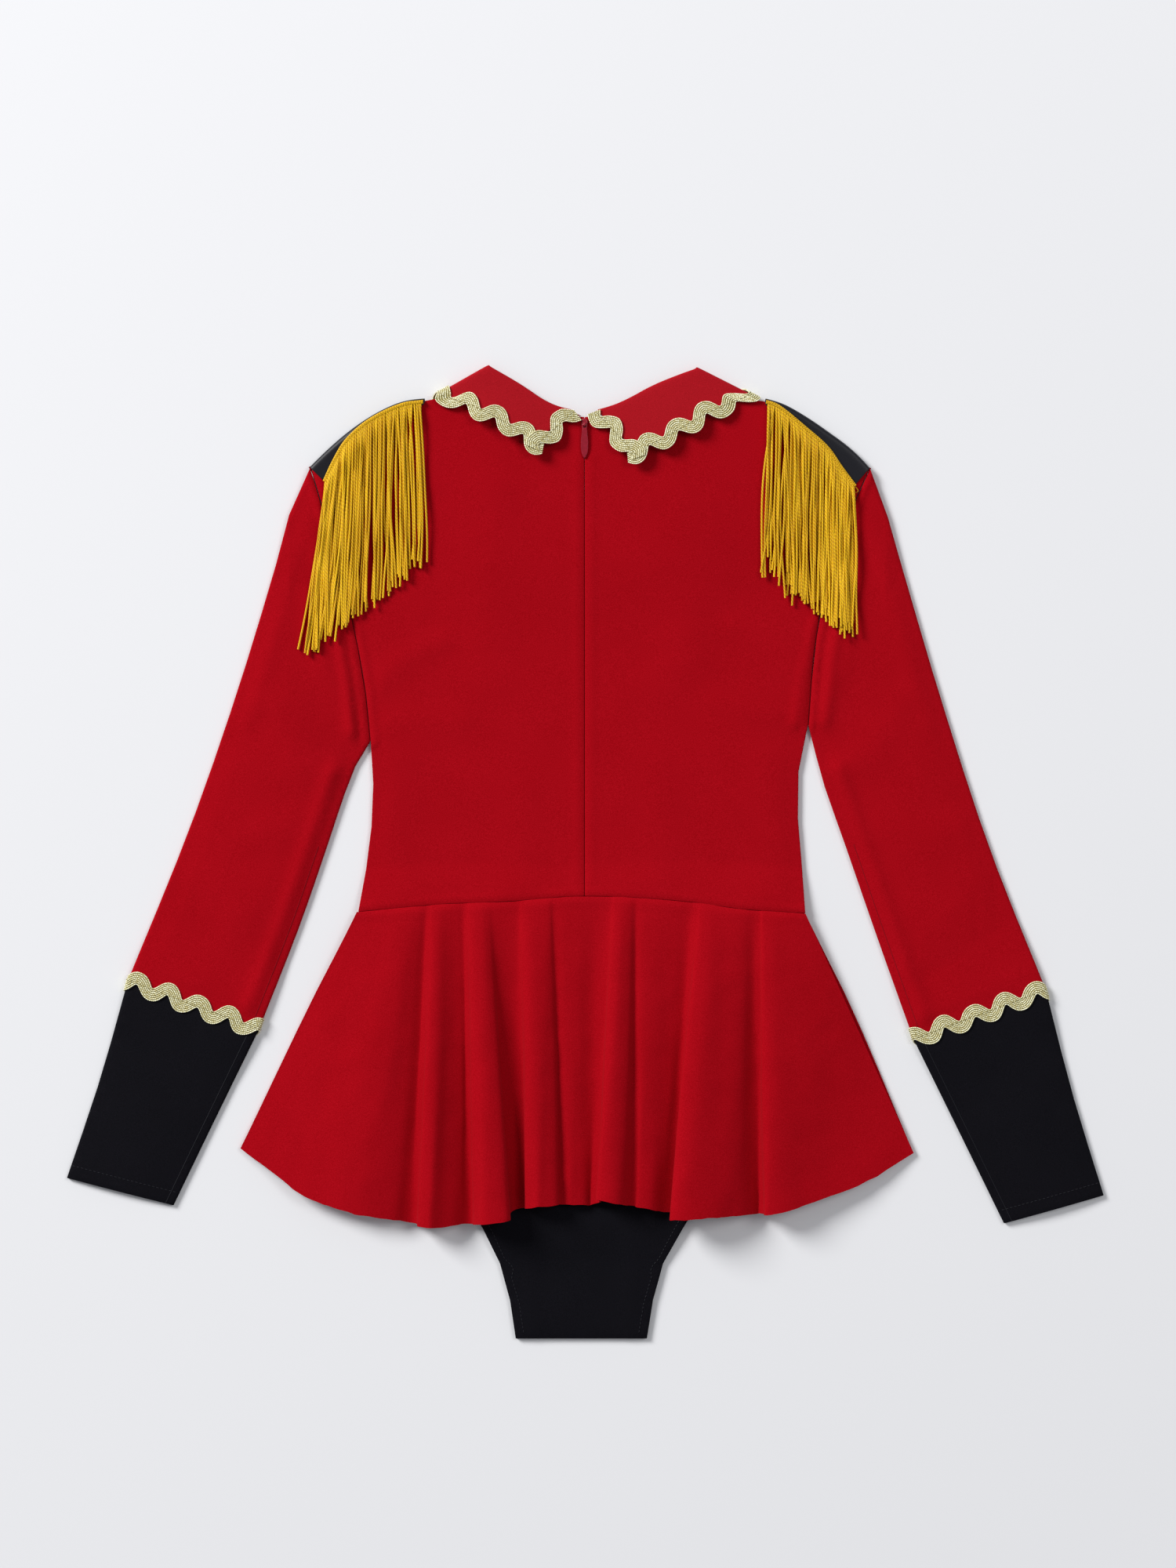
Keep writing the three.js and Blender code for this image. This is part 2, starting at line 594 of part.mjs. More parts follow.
// Collar. Its section starts at the neck seam, stands out to the fold, turns back over itself
// and falls over the shoulder. Each half runs from the centre back round the side of the neck
// and under the front, so its levels are mirrored there about the middle of the bodice.
const STAND_LEVEL = LAYER / 2;
const FALL_LEVEL = 1.5 * LAYER;
const FOLD_LEVEL = (STAND_LEVEL + FALL_LEVEL) / 2;
const FOLD_NOSE = (FALL_LEVEL - STAND_LEVEL) / 2;
const FALL_LOFT = 3.2;
const STAND_GAP = 0.7;
const TURN_STEPS = 4;
const COLLAR_START = 0.02;
const FALL_COLUMNS = 4;
const middleZ = (x, y) => lowerZ(x, y) + LAYER / 2;
const fallLoft = (w, t) => FALL_LOFT * w * (1 - smooth(0.55, 1, t));

// The plan point and level of a collar section's column: stand, fold or fall.
function collarColumns() {
  const fall = range(FALL_COLUMNS).map((i) => ({
    from: "fold", to: "edge", w: (i + 1) / FALL_COLUMNS, level: FALL_LEVEL,
  }));
  return [
    { from: "neck", to: "fold", w: 0, level: STAND_LEVEL },
    { from: "neck", to: "fold", w: 0.5, level: STAND_LEVEL },
    { from: "neck", to: "fold", w: 1, level: STAND_LEVEL },
    { from: "neck", to: "fold", w: 1, level: FOLD_LEVEL, nose: FOLD_NOSE },
    { from: "fold", to: "edge", w: 0, level: FALL_LEVEL },
    ...fall,
  ];
}

function collarSection(lines, t) {
  const neck = lines.neck.getPointAt(t);
  const fold = lines.fold.getPointAt(t);
  const away = fold.clone().sub(neck).normalize();
  return { neck: neck.addScaledVector(away, STAND_GAP), fold, edge: lines.edge.getPointAt(t), away };
}

const columnPlan = (section, { from, to, w, nose = 0 }) =>
  section[from].clone().lerp(section[to], w).addScaledVector(section.away, nose);

// Rows of the collar: the upper leaf, the turn round the side of the neck, the front leaf.
function collarGrid(side) {
  const half = BODICE[side];
  const { fold, edge, foldFront, edgeFront, lean } = COLLAR[side];
  const upper = { neck: curve([...half.neckBack].reverse()), fold: curve(fold), edge: curve(edge) };
  const lower = { neck: curve(half.neckFront), fold: curve(foldFront), edge: curve(edgeFront) };
  const out = at(...lean).normalize();
  const loft = ({ from, w }, t) => (from === "fold" ? fallLoft(w, t) : 0);
  const leaf = (lines, t, sign) => collarColumns().map((column) => {
    const point = columnPlan(collarSection(lines, t), column);
    const raised = sign > 0 ? loft(column, t) : 0;
    point.z = middleZ(point.x, point.y) + sign * column.level + raised;
    return point;
  });
  const turn = (angle) => collarColumns().map((column) => {
    const point = columnPlan(collarSection(upper, 1), column);
    point.z = middleZ(point.x, point.y) + column.level * Math.cos(angle);
    return point.addScaledVector(out, column.level * Math.sin(angle));
  });
  return [
    ...range(NECK_STEPS + 1).map((i) => leaf(upper, mix(COLLAR_START, 1, i / NECK_STEPS), 1)),
    ...range(TURN_STEPS - 1).map((i) => turn((Math.PI * (i + 1)) / TURN_STEPS)),
    ...range(NECK_STEPS + 1).map((i) => leaf(lower, i / NECK_STEPS, -1)),
  ];
}

// Ric-rac along the collar. One length follows the outer edge of the cloth from the tip round
// the side of the neck and on along the front leaf, half of it past the edge. A second, short
// length follows the centre back edge from the tip up to the fold.
const COLLAR_BRAID_LEVEL = FALL_LEVEL + HALF + GAP + BRAID_THICK / 2;
const CORNER_OVERRUN = 4.5;

// Even stations along a strip of braid, a few to each wave.
function braidStations(from, to) {
  const steps = Math.round(((to - from) / BRAID_WAVE) * STEPS_PER_WAVE);
  return range(steps + 1).map((i) => mix(from, to, i / steps));
}

// A strip of braid: place(a, b) gives the point at a along the strip and b across it.
function ricrac(place, stations, phase) {
  return wall(stations.map((along) => {
    const wave = BRAID_SWING * Math.sin((2 * Math.PI * (along - stations[0])) / BRAID_WAVE + phase);
    return [-1, 1].map((edge) => place(along, wave + (edge * BRAID_WIDTH) / 2));
  }), BRAID_THICK);
}

function outerBraid(side) {
  const { hand } = BODICE[side];
  const { fold, edge, edgeFront, lean } = COLLAR[side];
  const [upper, lower, foldLine] = [curve(edge), curve(edgeFront), curve(fold)];
  const out = at(...lean).normalize();
  const upperLength = upper.getLength();
  const turnLength = Math.PI * COLLAR_BRAID_LEVEL;
  const sideways = upper.getPointAt(1).sub(foldLine.getPointAt(1)).normalize();
  // The way across the braid: square to the edge, but along the fold at the side of the neck.
  const acrossAt = (line, t, sign, toTurn) => {
    const tangent = line.getTangentAt(t);
    return at(sign * tangent.y, -sign * tangent.x).lerp(sideways, toTurn).normalize();
  };
  const turnEnd = upperLength + turnLength;
  const place = (a, b) => {
    if (a <= upperLength) {
      const t = Math.max(0, a) / upperLength;
      const point = upper.getPointAt(t).addScaledVector(upper.getTangentAt(t), Math.min(0, a));
      const width = point.distanceTo(foldLine.getPointAt(t));
      point.addScaledVector(acrossAt(upper, t, hand, smooth(0.7, 1, t)), b);
      point.z = middleZ(point.x, point.y) + COLLAR_BRAID_LEVEL + fallLoft(1 + b / width, t);
      return point;
    }
    if (a < turnEnd) {
      const angle = (a - upperLength) / COLLAR_BRAID_LEVEL;
      const point = upper.getPointAt(1).addScaledVector(sideways, b);
      point.z = middleZ(point.x, point.y) + COLLAR_BRAID_LEVEL * Math.cos(angle);
      return point.addScaledVector(out, COLLAR_BRAID_LEVEL * Math.sin(angle));
    }
    const t = Math.min(1, (a - turnEnd) / lower.getLength());
    const point = lower.getPointAt(t).addScaledVector(acrossAt(lower, t, -hand, 1 - smooth(0, 0.25, t)), b);
    point.z = middleZ(point.x, point.y) - COLLAR_BRAID_LEVEL;
    return point;
  };
  const turning = range(TURN_STEPS - 1).map((i) => upperLength + (turnLength * (i + 1)) / TURN_STEPS);
  return ricrac(place, [
    ...braidStations(-CORNER_OVERRUN, upperLength),
    ...turning,
    ...braidStations(turnEnd, turnEnd + lower.getLength()),
  ], 0);
}

function centreBackBraid(side) {
  const { hand } = BODICE[side];
  const { fold, edge } = COLLAR[side];
  const [tip, top] = [at(...edge[0]), at(...fold[0])];
  const length = tip.distanceTo(top);
  const along = top.clone().sub(tip).normalize();
  const across = at(along.y * hand, -along.x * hand);
  return ricrac((a, b) => {
    const point = tip.clone().addScaledVector(along, a).addScaledVector(across, -b);
    point.z = middleZ(point.x, point.y) + COLLAR_BRAID_LEVEL + fallLoft(1 - a / length, 0);
    return point;
  }, braidStations(-CORNER_OVERRUN, length), Math.PI);
}

for (const side of ["left", "right"]) {
  addMesh(`collar_${side}`, wall(collarGrid(side), CLOTH), RED);
  addMesh(`collar_trim_${side}`, joinAll([outerBraid(side), centreBackBraid(side)]), BRAID_GOLD);
}

// Shoulder straps: satin folded over the shoulder line, with a narrow turning underneath.
const STRAP_STEPS = 7;
const STRAP_TOP_COLUMNS = 3;

function strapLines(side) {
  const rows = STRAP_ROWS[side];
  return {
    edge: curve(rows.map((row) => [row.edgeX, row.edgeY])),
    root: curve(rows.map((row) => [row.rootX, row.rootY])),
  };
}

// The direction from the fringe heading out over the shoulder, at fraction t of the strap.
function strapOut(lines, t, hand) {
  const tangent = lines.edge.getTangentAt(t);
  return at(-tangent.y * hand, tangent.x * hand);
}

function strapGrid(side) {
  const { hand } = BODICE[side];
  const lines = strapLines(side);
  return range(STRAP_STEPS + 1).map((i) => {
    const t = i / STRAP_STEPS;
    const out = strapOut(lines, t, hand);
    const turnCentre = lines.edge.getPointAt(t).addScaledVector(out, -(FALL_LEVEL + HALF));
    const inner = lines.root.getPointAt(t).addScaledVector(out, -STRAP_PAST_HEADING);
    const under = turnCentre.clone().addScaledVector(out, -STRAP_UNDER_WIDTH);
    const flat = (point, level) => at(point.x, point.y, middleZ(point.x, point.y) + level);
    const top = range(STRAP_TOP_COLUMNS + 1).map((k) => (
      flat(inner.clone().lerp(turnCentre, k / STRAP_TOP_COLUMNS), FALL_LEVEL)
    ));
    const turned = FOLD_ANGLES.map((angle) => flat(
      turnCentre.clone().addScaledVector(out, FALL_LEVEL * Math.sin(angle)), FALL_LEVEL * Math.cos(angle),
    ));
    return [...top, ...turned, flat(turnCentre, -FALL_LEVEL), flat(under, -FALL_LEVEL)];
  });
}

for (const side of ["left", "right"]) {
  addMesh(`strap_${side}`, wall(strapGrid(side), CLOTH), SATIN);
}

// Fringe: its heading is sewn on the strap. The strands hang from it towards the waist, in two
// layers, and lie on the sleeve and the back.
const HEADING_LEVEL = FALL_LEVEL + LAYER + 0.1;
const STRAND_CLEAR = GAP + 0.15;
const SLEEVE_PUFF_RAMP = 60;

// The fringe lies on the back and on the sleeve, which rounds up away from its armhole.
function lowerStrandZ(x, y) {
  const side = x < CENTRE_X ? "left" : "right";
  const { armhole, hand } = BODICE[side];
  const fromSeam = distanceTo(armhole, x, y);
  const onSleeve = hand * (x - curve(armhole).getPointAt(0.5).x) > 0 || y > armhole[2][1];
  const puff = onSleeve ? SLEEVE_PUFF * smooth(0, SLEEVE_PUFF_RAMP, fromSeam) : 0;
  return upperZ(x, y) + puff + HALF + STRAND_CLEAR + STRAND_RADIUS / 2;
}

const STRAND_LAYER = 1.5 * STRAND_RADIUS + GAP;
const HEADING_END = 0.015;
const RAGGED_ENDS = [{ reach: 3, turn: 12.9 }, { reach: 1.5, turn: 5.3 }];

function lengthAt(lengths, u) {
  const place = u * (lengths.length - 1);
  const i = Math.min(lengths.length - 2, Math.floor(place));
  return mix(lengths[i], lengths[i + 1], place - i);
}

// A strand: a closed tube of few sides through its points, cut square in plan.
function strand(points) {
  const positions = [];
  const index = [];
  for (const point of points) {
    for (const k of range(STRAND_SIDES)) {
      const angle = Math.PI / 2 + (2 * Math.PI * k) / STRAND_SIDES;
      const [x, z] = [Math.cos(angle), Math.sin(angle)];
      positions.push(point.x + STRAND_RADIUS * x, point.y, point.z + STRAND_RADIUS * z);
    }
  }
  const last = (points.length - 1) * STRAND_SIDES;
  for (let i = 0; i < last; i += STRAND_SIDES) {
    for (const k of range(STRAND_SIDES)) {
      const next = (k + 1) % STRAND_SIDES;
      const [below, nextBelow] = [i + STRAND_SIDES + k, i + STRAND_SIDES + next];
      index.push(i + k, i + next, below, i + next, nextBelow, below);
    }
  }
  for (let k = 1; k + 1 < STRAND_SIDES; k++) {
    index.push(0, k + 1, k, last, last + k, last + k + 1);
  }
  return outward(positions, index);
}

function fringe(side) {
  const { hand } = BODICE[side];
  const { lengths, leanAtNeck, leanAtTip } = FRINGE[side];
  const lines = strapLines(side);
  const heading = range(2 * STRAP_STEPS + 1).map((i) => {
    const t = i / (2 * STRAP_STEPS);
    const out = strapOut(lines, t, hand);
    return [-1, 1].map((edge) => {
      const point = lines.root.getPointAt(t).addScaledVector(out, (edge * HEADING_WIDTH) / 2);
      point.z = middleZ(point.x, point.y) + HEADING_LEVEL;
      return point;
    });
  });
  const strands = range(STRANDS).map((k) => {
    const u = (k + 0.5) / STRANDS;
    const root = lines.root.getPointAt(mix(HEADING_END, 1 - HEADING_END, u));
    const ragged = RAGGED_ENDS.reduce((sum, { reach, turn }) => sum + reach * Math.sin(turn * k), 0);
    const length = lengthAt(lengths, u) + ragged;
    const lean = mix(leanAtNeck, leanAtTip, u);
    const upperLayer = k % 2;
    return strand(range(STRAND_STEPS + 1).map((i) => {
      const t = i / STRAND_STEPS;
      const x = root.x + lean * t;
      const y = root.y - length * t;
      const rootZ = middleZ(root.x, root.y) + HEADING_LEVEL;
      const lyingZ = lowerStrandZ(x, y) + upperLayer * STRAND_LAYER;
      return at(x, y, i === 0 ? rootZ : lyingZ);
    }));
  });
  return joinAll([wall(heading, CLOTH), ...strands]);
}

for (const side of ["left", "right"]) {
  addMesh(`fringe_${side}`, fringe(side), FRINGE_GOLD);
}

// Briefs: front and back lie on each other between the two halves of the peplum, and come
// down to the floor below its hem.
const BRIEFS_ACROSS = 8;
const BRIEFS_STEPS = 12;

function briefsPanel(level) {
  const left = curve(BRIEFS_ROWS.map((row) => [row.left, row.y]));
  const right = curve(BRIEFS_ROWS.map((row) => [row.right, row.y]));
  const height = (x, y) => FLOOR_LAYER + LAYER * (level + smooth(BRIEFS_REST.to, BRIEFS_REST.from, y));
  const top = range(BRIEFS_ACROSS + 1).map((i) => {
    const x = mix(BRIEFS_ROWS[0].left, BRIEFS_ROWS[0].right, i / BRIEFS_ACROSS);
    return at(x, waistY(x) - GAP);
  });
  const leftEdge = sampled(left, BRIEFS_STEPS);
  const rightEdge = sampled(right, BRIEFS_STEPS);
  leftEdge[0] = top[0].clone();
  rightEdge[0] = top.at(-1).clone();
  const bottom = range(BRIEFS_ACROSS + 1).map((i) => (
    leftEdge.at(-1).clone().lerp(rightEdge.at(-1), i / BRIEFS_ACROSS)
  ));
  return wall(panel({ bottom: top, top: bottom, left: leftEdge, right: rightEdge }, height), CLOTH);
}

addMesh("briefs_front", briefsPanel(0), BLACK);
addMesh("briefs_back", briefsPanel(1), BLACK);

// Peplum. The front half lies flat on the floor. The back half stands in folds.
const PEPLUM_STEPS = 5;
const FOLD_SUBSTEPS = 2;
const FOLD_RISE = 0.8;

function hemY(x) {
  const after = FOLD_LINES.findIndex((line) => line.hemX >= x);
  const [a, b] = [FOLD_LINES[Math.max(0, after - 1)], FOLD_LINES[Math.max(1, after)]];
  return mix(a.hemY, b.hemY, (x - a.hemX) / (b.hemX - a.hemX));
}

// How much of the briefs' height lies under a point of the back peplum: all, or none at the sides.
function overBriefs(x, y) {
  const line = (side) => {
    const below = BRIEFS_ROWS.findIndex((row) => row.y < y);
    const [a, b] = [BRIEFS_ROWS[Math.max(0, below - 1)], BRIEFS_ROWS[Math.max(1, below)]];
    return mix(a[side], b[side], Math.min(1, Math.max(0, (y - a.y) / (b.y - a.y))));
  };
  const outside = Math.max(line("left") - x, x - line("right"));
  return 1 - smooth(3, 26, outside);
}

const peplumBase = (x, y) => FLOOR_LAYER + LAYER * (1 + 2 * overBriefs(x, y));

function foldCurve(t) {
  return new THREE.CatmullRomCurve3(FOLD_LINES.map(({ waistX, hemX, hemY: endY, lift: height }) => {
    const x = mix(waistX, hemX, t);
    const y = mix(waistY(Math.min(WAIST_RIGHT, Math.max(WAIST_LEFT, waistX))) - GAP, endY, t);
    return at(x, y, height * t ** FOLD_RISE);
  }), false, "centripetal");
}

function peplumBack() {
  const columns = (FOLD_LINES.length - 1) * FOLD_SUBSTEPS;
  return wall(range(PEPLUM_STEPS + 1).map((i) => {
    const section = foldCurve(i / PEPLUM_STEPS);
    return range(columns + 1).map((j) => {
      const point = section.getPoint(j / columns);
      point.z += peplumBase(point.x, point.y);
      return point;
    });
  }), CLOTH);
}

function peplumFront() {
  const left = sampled(curve(PEPLUM_SIDE.left), 6);
  const right = sampled(curve(PEPLUM_SIDE.right), 6);
  const across = 12;
  const top = range(across + 1).map((i) => {
    const x = mix(left[0].x, right[0].x, i / across);
    return at(x, waistY(Math.min(WAIST_RIGHT, Math.max(WAIST_LEFT, x))) - GAP);
  });
  left[0] = top[0].clone();
  right[0] = top.at(-1).clone();
  const bottom = range(across + 1).map((i) => {
    const x = mix(left.at(-1).x, right.at(-1).x, i / across);
    return at(x, hemY(x) + FRONT_PEPLUM_SHORTER * Math.sin((Math.PI * i) / across) ** 0.5);
  });
  bottom[0] = left.at(-1).clone();
  bottom[across] = right.at(-1).clone();
  return wall(panel({ bottom: top, top: bottom, left, right }, () => FLOOR_LAYER), CLOTH);
}

addMesh("peplum_front", peplumFront(), RED);
addMesh("peplum_back", peplumBack(), RED);

// Zip. The slider's ring holds the bar of the pull, which hangs down the back.
const CIRCLE_SEGMENTS = 8;

function extruded(shape, depth) {
  return new THREE.ExtrudeGeometry(shape, { depth, bevelEnabled: false, curveSegments: CIRCLE_SEGMENTS });
}

// A round outline in Y and Z, given depth along X and centred on the zip.
function acrossZip(shape, width) {
  const geometry = extruded(shape, width);
  geometry.translate(0, 0, -width / 2);
  geometry.rotateX(Math.PI / 2);
  geometry.rotateZ(Math.PI / 2);
  return geometry;
}

function circle(radius) {
  const shape = new THREE.Shape();
  shape.absarc(0, 0, radius, 0, 2 * Math.PI);
  return shape;
}

const plane = (points) => new THREE.Shape(points.map(([x, y]) => new THREE.Vector2(x, y)));

const ZIP_TOP = upperZ(ZIP.x, ZIP.ringY) + HALF;
const RING_Z = ZIP_TOP + GAP + ZIP.baseThick + ZIP.ringInner;

function zipSlider() {
  const { x, ringY, baseWidth, baseFront, baseBack, baseBevel } = ZIP;
  const [side, front, back] = [baseWidth / 2, ringY - baseFront, ringY + baseBack];
  const base = extruded(plane([
    [-side, front + baseBevel],
    [baseBevel - side, front],
    [side - baseBevel, front],
    [side, front + baseBevel],
    [side, back - baseBevel],
    [side - baseBevel, back],
    [baseBevel - side, back],
    [-side, back - baseBevel],
  ]), ZIP.baseThick);
  base.translate(x, 0, ZIP_TOP + GAP);
  const ringShape = circle(ZIP.ringOuter);
  ringShape.holes.push(circle(ZIP.ringInner));
  const ring = acrossZip(ringShape, ZIP.ringWidth);
  ring.translate(x, ringY, RING_Z);
  return joinAll([base, ring]);
}

// The pull lies along -Y from its bar at the origin: a window for the ring, then the drop.
function zipPull() {
  const { pullThick, barRadius, ringWidth, ringOuter } = ZIP;
  const windowHalf = ringWidth / 2 + GAP;
  const windowEnd = -ringOuter - 1.5 * GAP;
  const plate = extruded(plane([
    ...PULL_ROWS.map(({ along, half }) => [-half, -along]),
    ...[...PULL_ROWS].reverse().map(({ along, half }) => [half, -along]),
    [windowHalf, 0],
    [windowHalf, windowEnd],
    [-windowHalf, windowEnd],
    [-windowHalf, 0],
  ]), pullThick);
  plate.translate(0, 0, -pullThick / 2);
  return joinAll([plate, acrossZip(circle(barRadius), 2 * PULL_ROWS[0].half)]);
}

addMesh("zip_slider", zipSlider(), ZIP_RED);
const pull = addMesh("zip_pull", zipPull(), ZIP_RED);
pull.position.set(ZIP.x, ZIP.ringY, RING_Z);
pull.rotation.x = THREE.MathUtils.degToRad(ZIP.pullTilt);

export default group;
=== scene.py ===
# %% [markdown]
# # A ringmaster costume, laid flat
# The object is a child's dance leotard in a ringmaster's style, laid on the floor with its back
# up. It has a red knit bodice with a zip down the back, long sleeves with black cuffs, black
# satin shoulder straps that carry a gold fringe, a two-part collar edged with gold ric-rac, and
# a flared red peplum over black briefs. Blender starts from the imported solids, which fix every
# place and size, and gives each piece its cloth.

import math
import random
from contextlib import contextmanager

import bmesh
import bpy
import numpy as np
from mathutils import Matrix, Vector, noise
from mathutils.bvhtree import BVHTree


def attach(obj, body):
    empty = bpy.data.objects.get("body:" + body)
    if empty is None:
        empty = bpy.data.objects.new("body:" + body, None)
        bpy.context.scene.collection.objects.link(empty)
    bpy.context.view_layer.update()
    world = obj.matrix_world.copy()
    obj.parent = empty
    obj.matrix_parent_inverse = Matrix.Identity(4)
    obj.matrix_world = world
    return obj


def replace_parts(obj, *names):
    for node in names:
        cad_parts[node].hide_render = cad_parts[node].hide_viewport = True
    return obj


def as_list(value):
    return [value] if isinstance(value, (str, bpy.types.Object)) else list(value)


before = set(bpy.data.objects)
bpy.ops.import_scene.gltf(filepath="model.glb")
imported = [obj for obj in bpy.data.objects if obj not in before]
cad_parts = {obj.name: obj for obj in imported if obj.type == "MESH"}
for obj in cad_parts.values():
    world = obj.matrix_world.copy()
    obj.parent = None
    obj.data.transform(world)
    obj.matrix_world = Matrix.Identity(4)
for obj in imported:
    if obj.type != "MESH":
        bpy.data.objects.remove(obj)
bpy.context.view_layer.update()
MM = 0.001
scene = bpy.context.scene

# %% [markdown]
# ## Camera
# The garment was photographed from straight above. A camera with a long lens, high over the
# floor, keeps the near and far layers the same size.

# %% Camera straight above
CAMERA_HEIGHT = 2.6
VIEW_HEIGHT = 1.04
SENSOR = 24.0
lens_data = bpy.data.cameras.new("camera")
lens_data.sensor_fit = "VERTICAL"
lens_data.sensor_height = SENSOR
lens_data.lens = SENSOR * CAMERA_HEIGHT / VIEW_HEIGHT
lens_data.clip_end = 30
camera = bpy.data.objects.new("camera", lens_data)
camera.location = (1.8 * MM, 45.2 * MM, CAMERA_HEIGHT + 4 * MM)
scene.collection.objects.link(camera)
scene.camera = camera
print("lens", round(lens_data.lens, 1), "mm")

# %% [markdown]
# ## Helpers for node trees
# Materials and Geometry Nodes are both trees of nodes. A helper adds a node with its values: a
# value is set on its input, or linked to it if it is the output of another node, so that each
# tree below reads as a list of its own steps. Constants go on the shader's own sockets.

# %% Node helpers
def add_node(tree, kind, values=None, **settings):
    node = tree.nodes.new(kind)
    for key, value in settings.items():
        setattr(node, key, value)
    for name, value in (values or {}).items():
        if isinstance(value, bpy.types.NodeSocket):
            tree.links.new(value, node.inputs[name])
        else:
            node.inputs[name].default_value = value
    return node


def math_node(tree, operation, first, second=0.0):
    return add_node(tree, "ShaderNodeMath", {0: first, 1: second}, operation=operation).outputs[0]


def new_material(name, constants):
    material = bpy.data.materials.new(name)
    material.use_nodes = True
    shader = material.node_tree.nodes["Principled BSDF"]
    for socket, value in constants.items():
        shader.inputs[socket].default_value = value
    return material, material.node_tree, shader


def cover(tree, shader, color, height=None, bump=0.0, depth=0.0):
    """Gives a shader its colour, and the relief of a pattern up to depth metres high."""
    tree.links.new(color, shader.inputs["Base Color"])
    if height is not None:
        relief = add_node(tree, "ShaderNodeBump", {"Strength": bump, "Distance": depth, "Height": height})
        tree.links.new(relief.outputs["Normal"], shader.inputs["Normal"])


# %% [markdown]
# ## Floor and light
# Cloth shows its folds by soft light from one side. A large lamp stands far out beyond the left
# shoulder, low enough to rake across the folds, a weaker one stands on the right, and a pale sky
# fills the shadows. Both are far away, so the light hardly falls off across the garment.
# The floor is plain and pale and isn't part of the object.

# %% Floor and lamps
def soft_lamp(name, place, width, power):
    light = bpy.data.lights.new(name, "AREA")
    light.shape = "DISK"
    light.size = width
    light.energy = power
    lamp = bpy.data.objects.new(name, light)
    lamp.location = place
    lamp.rotation_euler = (-Vector(place)).to_track_quat("-Z", "Y").to_euler()
    scene.collection.objects.link(lamp)


def plain_sky(strength):
    world = bpy.data.worlds.new("sky")
    world.use_nodes = True
    back = world.node_tree.nodes["Background"]
    back.inputs["Color"].default_value = (0.93, 0.95, 1.0, 1)
    back.inputs["Strength"].default_value = strength
    scene.world = world


def pale_floor():
    mesh = bpy.data.meshes.new("floor")
    half = 3.0
    mesh.from_pydata([(-half, -half, 0), (half, -half, 0), (half, half, 0), (-half, half, 0)], [], [(0, 1, 2, 3)])
    floor = bpy.data.objects.new("floor", mesh)
    floor.location.z = -0.3 * MM
    scene.collection.objects.link(floor)
    mesh.materials.append(new_material("floor_paper", {
        "Base Color": (0.84, 0.84, 0.855, 1), "Roughness": 0.95, "Specular IOR Level": 0.1})[0])
    return floor


scene.view_settings.view_transform = "Standard"
soft_lamp("key", (-5.1, 3.9, 3.8), 3.0, 622)
soft_lamp("side", (3.2, 1.8, 4.6), 2.5, 70)
plain_sky(0.30)
pale_floor()

# %% [markdown]
# ## One grain for all cloth
# Brushed knit, stretch jersey and satin all show fine threads with small flecks of light and
# dark yarn. One shader group makes both from the cloth's own coordinates: a mixed colour, and a
# height for the bump. Each material sets the sizes and strengths of its own cloth.

# %% Shader group: cloth grain
def cloth_grain_group():
    group = bpy.data.node_groups.new("cloth_grain", "ShaderNodeTree")
    for name, kind, value in [
        ("Yarn", "NodeSocketColor", (0.5, 0.5, 0.5, 1)),
        ("Fleck", "NodeSocketColor", (0.5, 0.5, 0.5, 1)),
        ("Fleck Share", "NodeSocketFloat", 0.4),
        ("Thread Size", "NodeSocketFloat", 0.5),
        ("Patch Share", "NodeSocketFloat", 0.1),
    ]:
        socket = group.interface.new_socket(name, in_out="INPUT", socket_type=kind)
        socket.default_value = value
    group.interface.new_socket("Color", in_out="OUTPUT", socket_type="NodeSocketColor")
    group.interface.new_socket("Height", in_out="OUTPUT", socket_type="NodeSocketFloat")
    given = group.nodes.new("NodeGroupInput").outputs
    place = add_node(group, "ShaderNodeTexCoord").outputs["Object"]
    scale = math_node(group, "DIVIDE", 1 / MM, given["Thread Size"])
    threads = add_node(group, "ShaderNodeTexNoise", {
        "Vector": place, "Scale": scale, "Detail": 2.0, "Roughness": 0.6}).outputs["Fac"]
    patches = add_node(group, "ShaderNodeTexNoise", {"Vector": place, "Scale": 28.0, "Detail": 3.0}).outputs["Fac"]
    spread = add_node(group, "ShaderNodeMapRange", {"Value": threads, "From Min": 0.36, "From Max": 0.66})
    wide = add_node(group, "ShaderNodeMapRange", {"Value": patches, "From Min": 0.3, "From Max": 0.7})
    share = math_node(group, "ADD",
                      math_node(group, "MULTIPLY", spread.outputs["Result"], given["Fleck Share"]),
                      math_node(group, "MULTIPLY", wide.outputs["Result"], given["Patch Share"]))
    blend = add_node(group, "ShaderNodeMix", {"Factor": share, 6: given["Yarn"], 7: given["Fleck"]}, data_type="RGBA")
    add_node(group, "NodeGroupOutput", {"Color": blend.outputs[2], "Height": threads})
    return group


cloth_grain = cloth_grain_group()
print("group", cloth_grain.name, "inputs", [s.name for s in cloth_grain.interface.items_tree if s.in_out == "INPUT"])
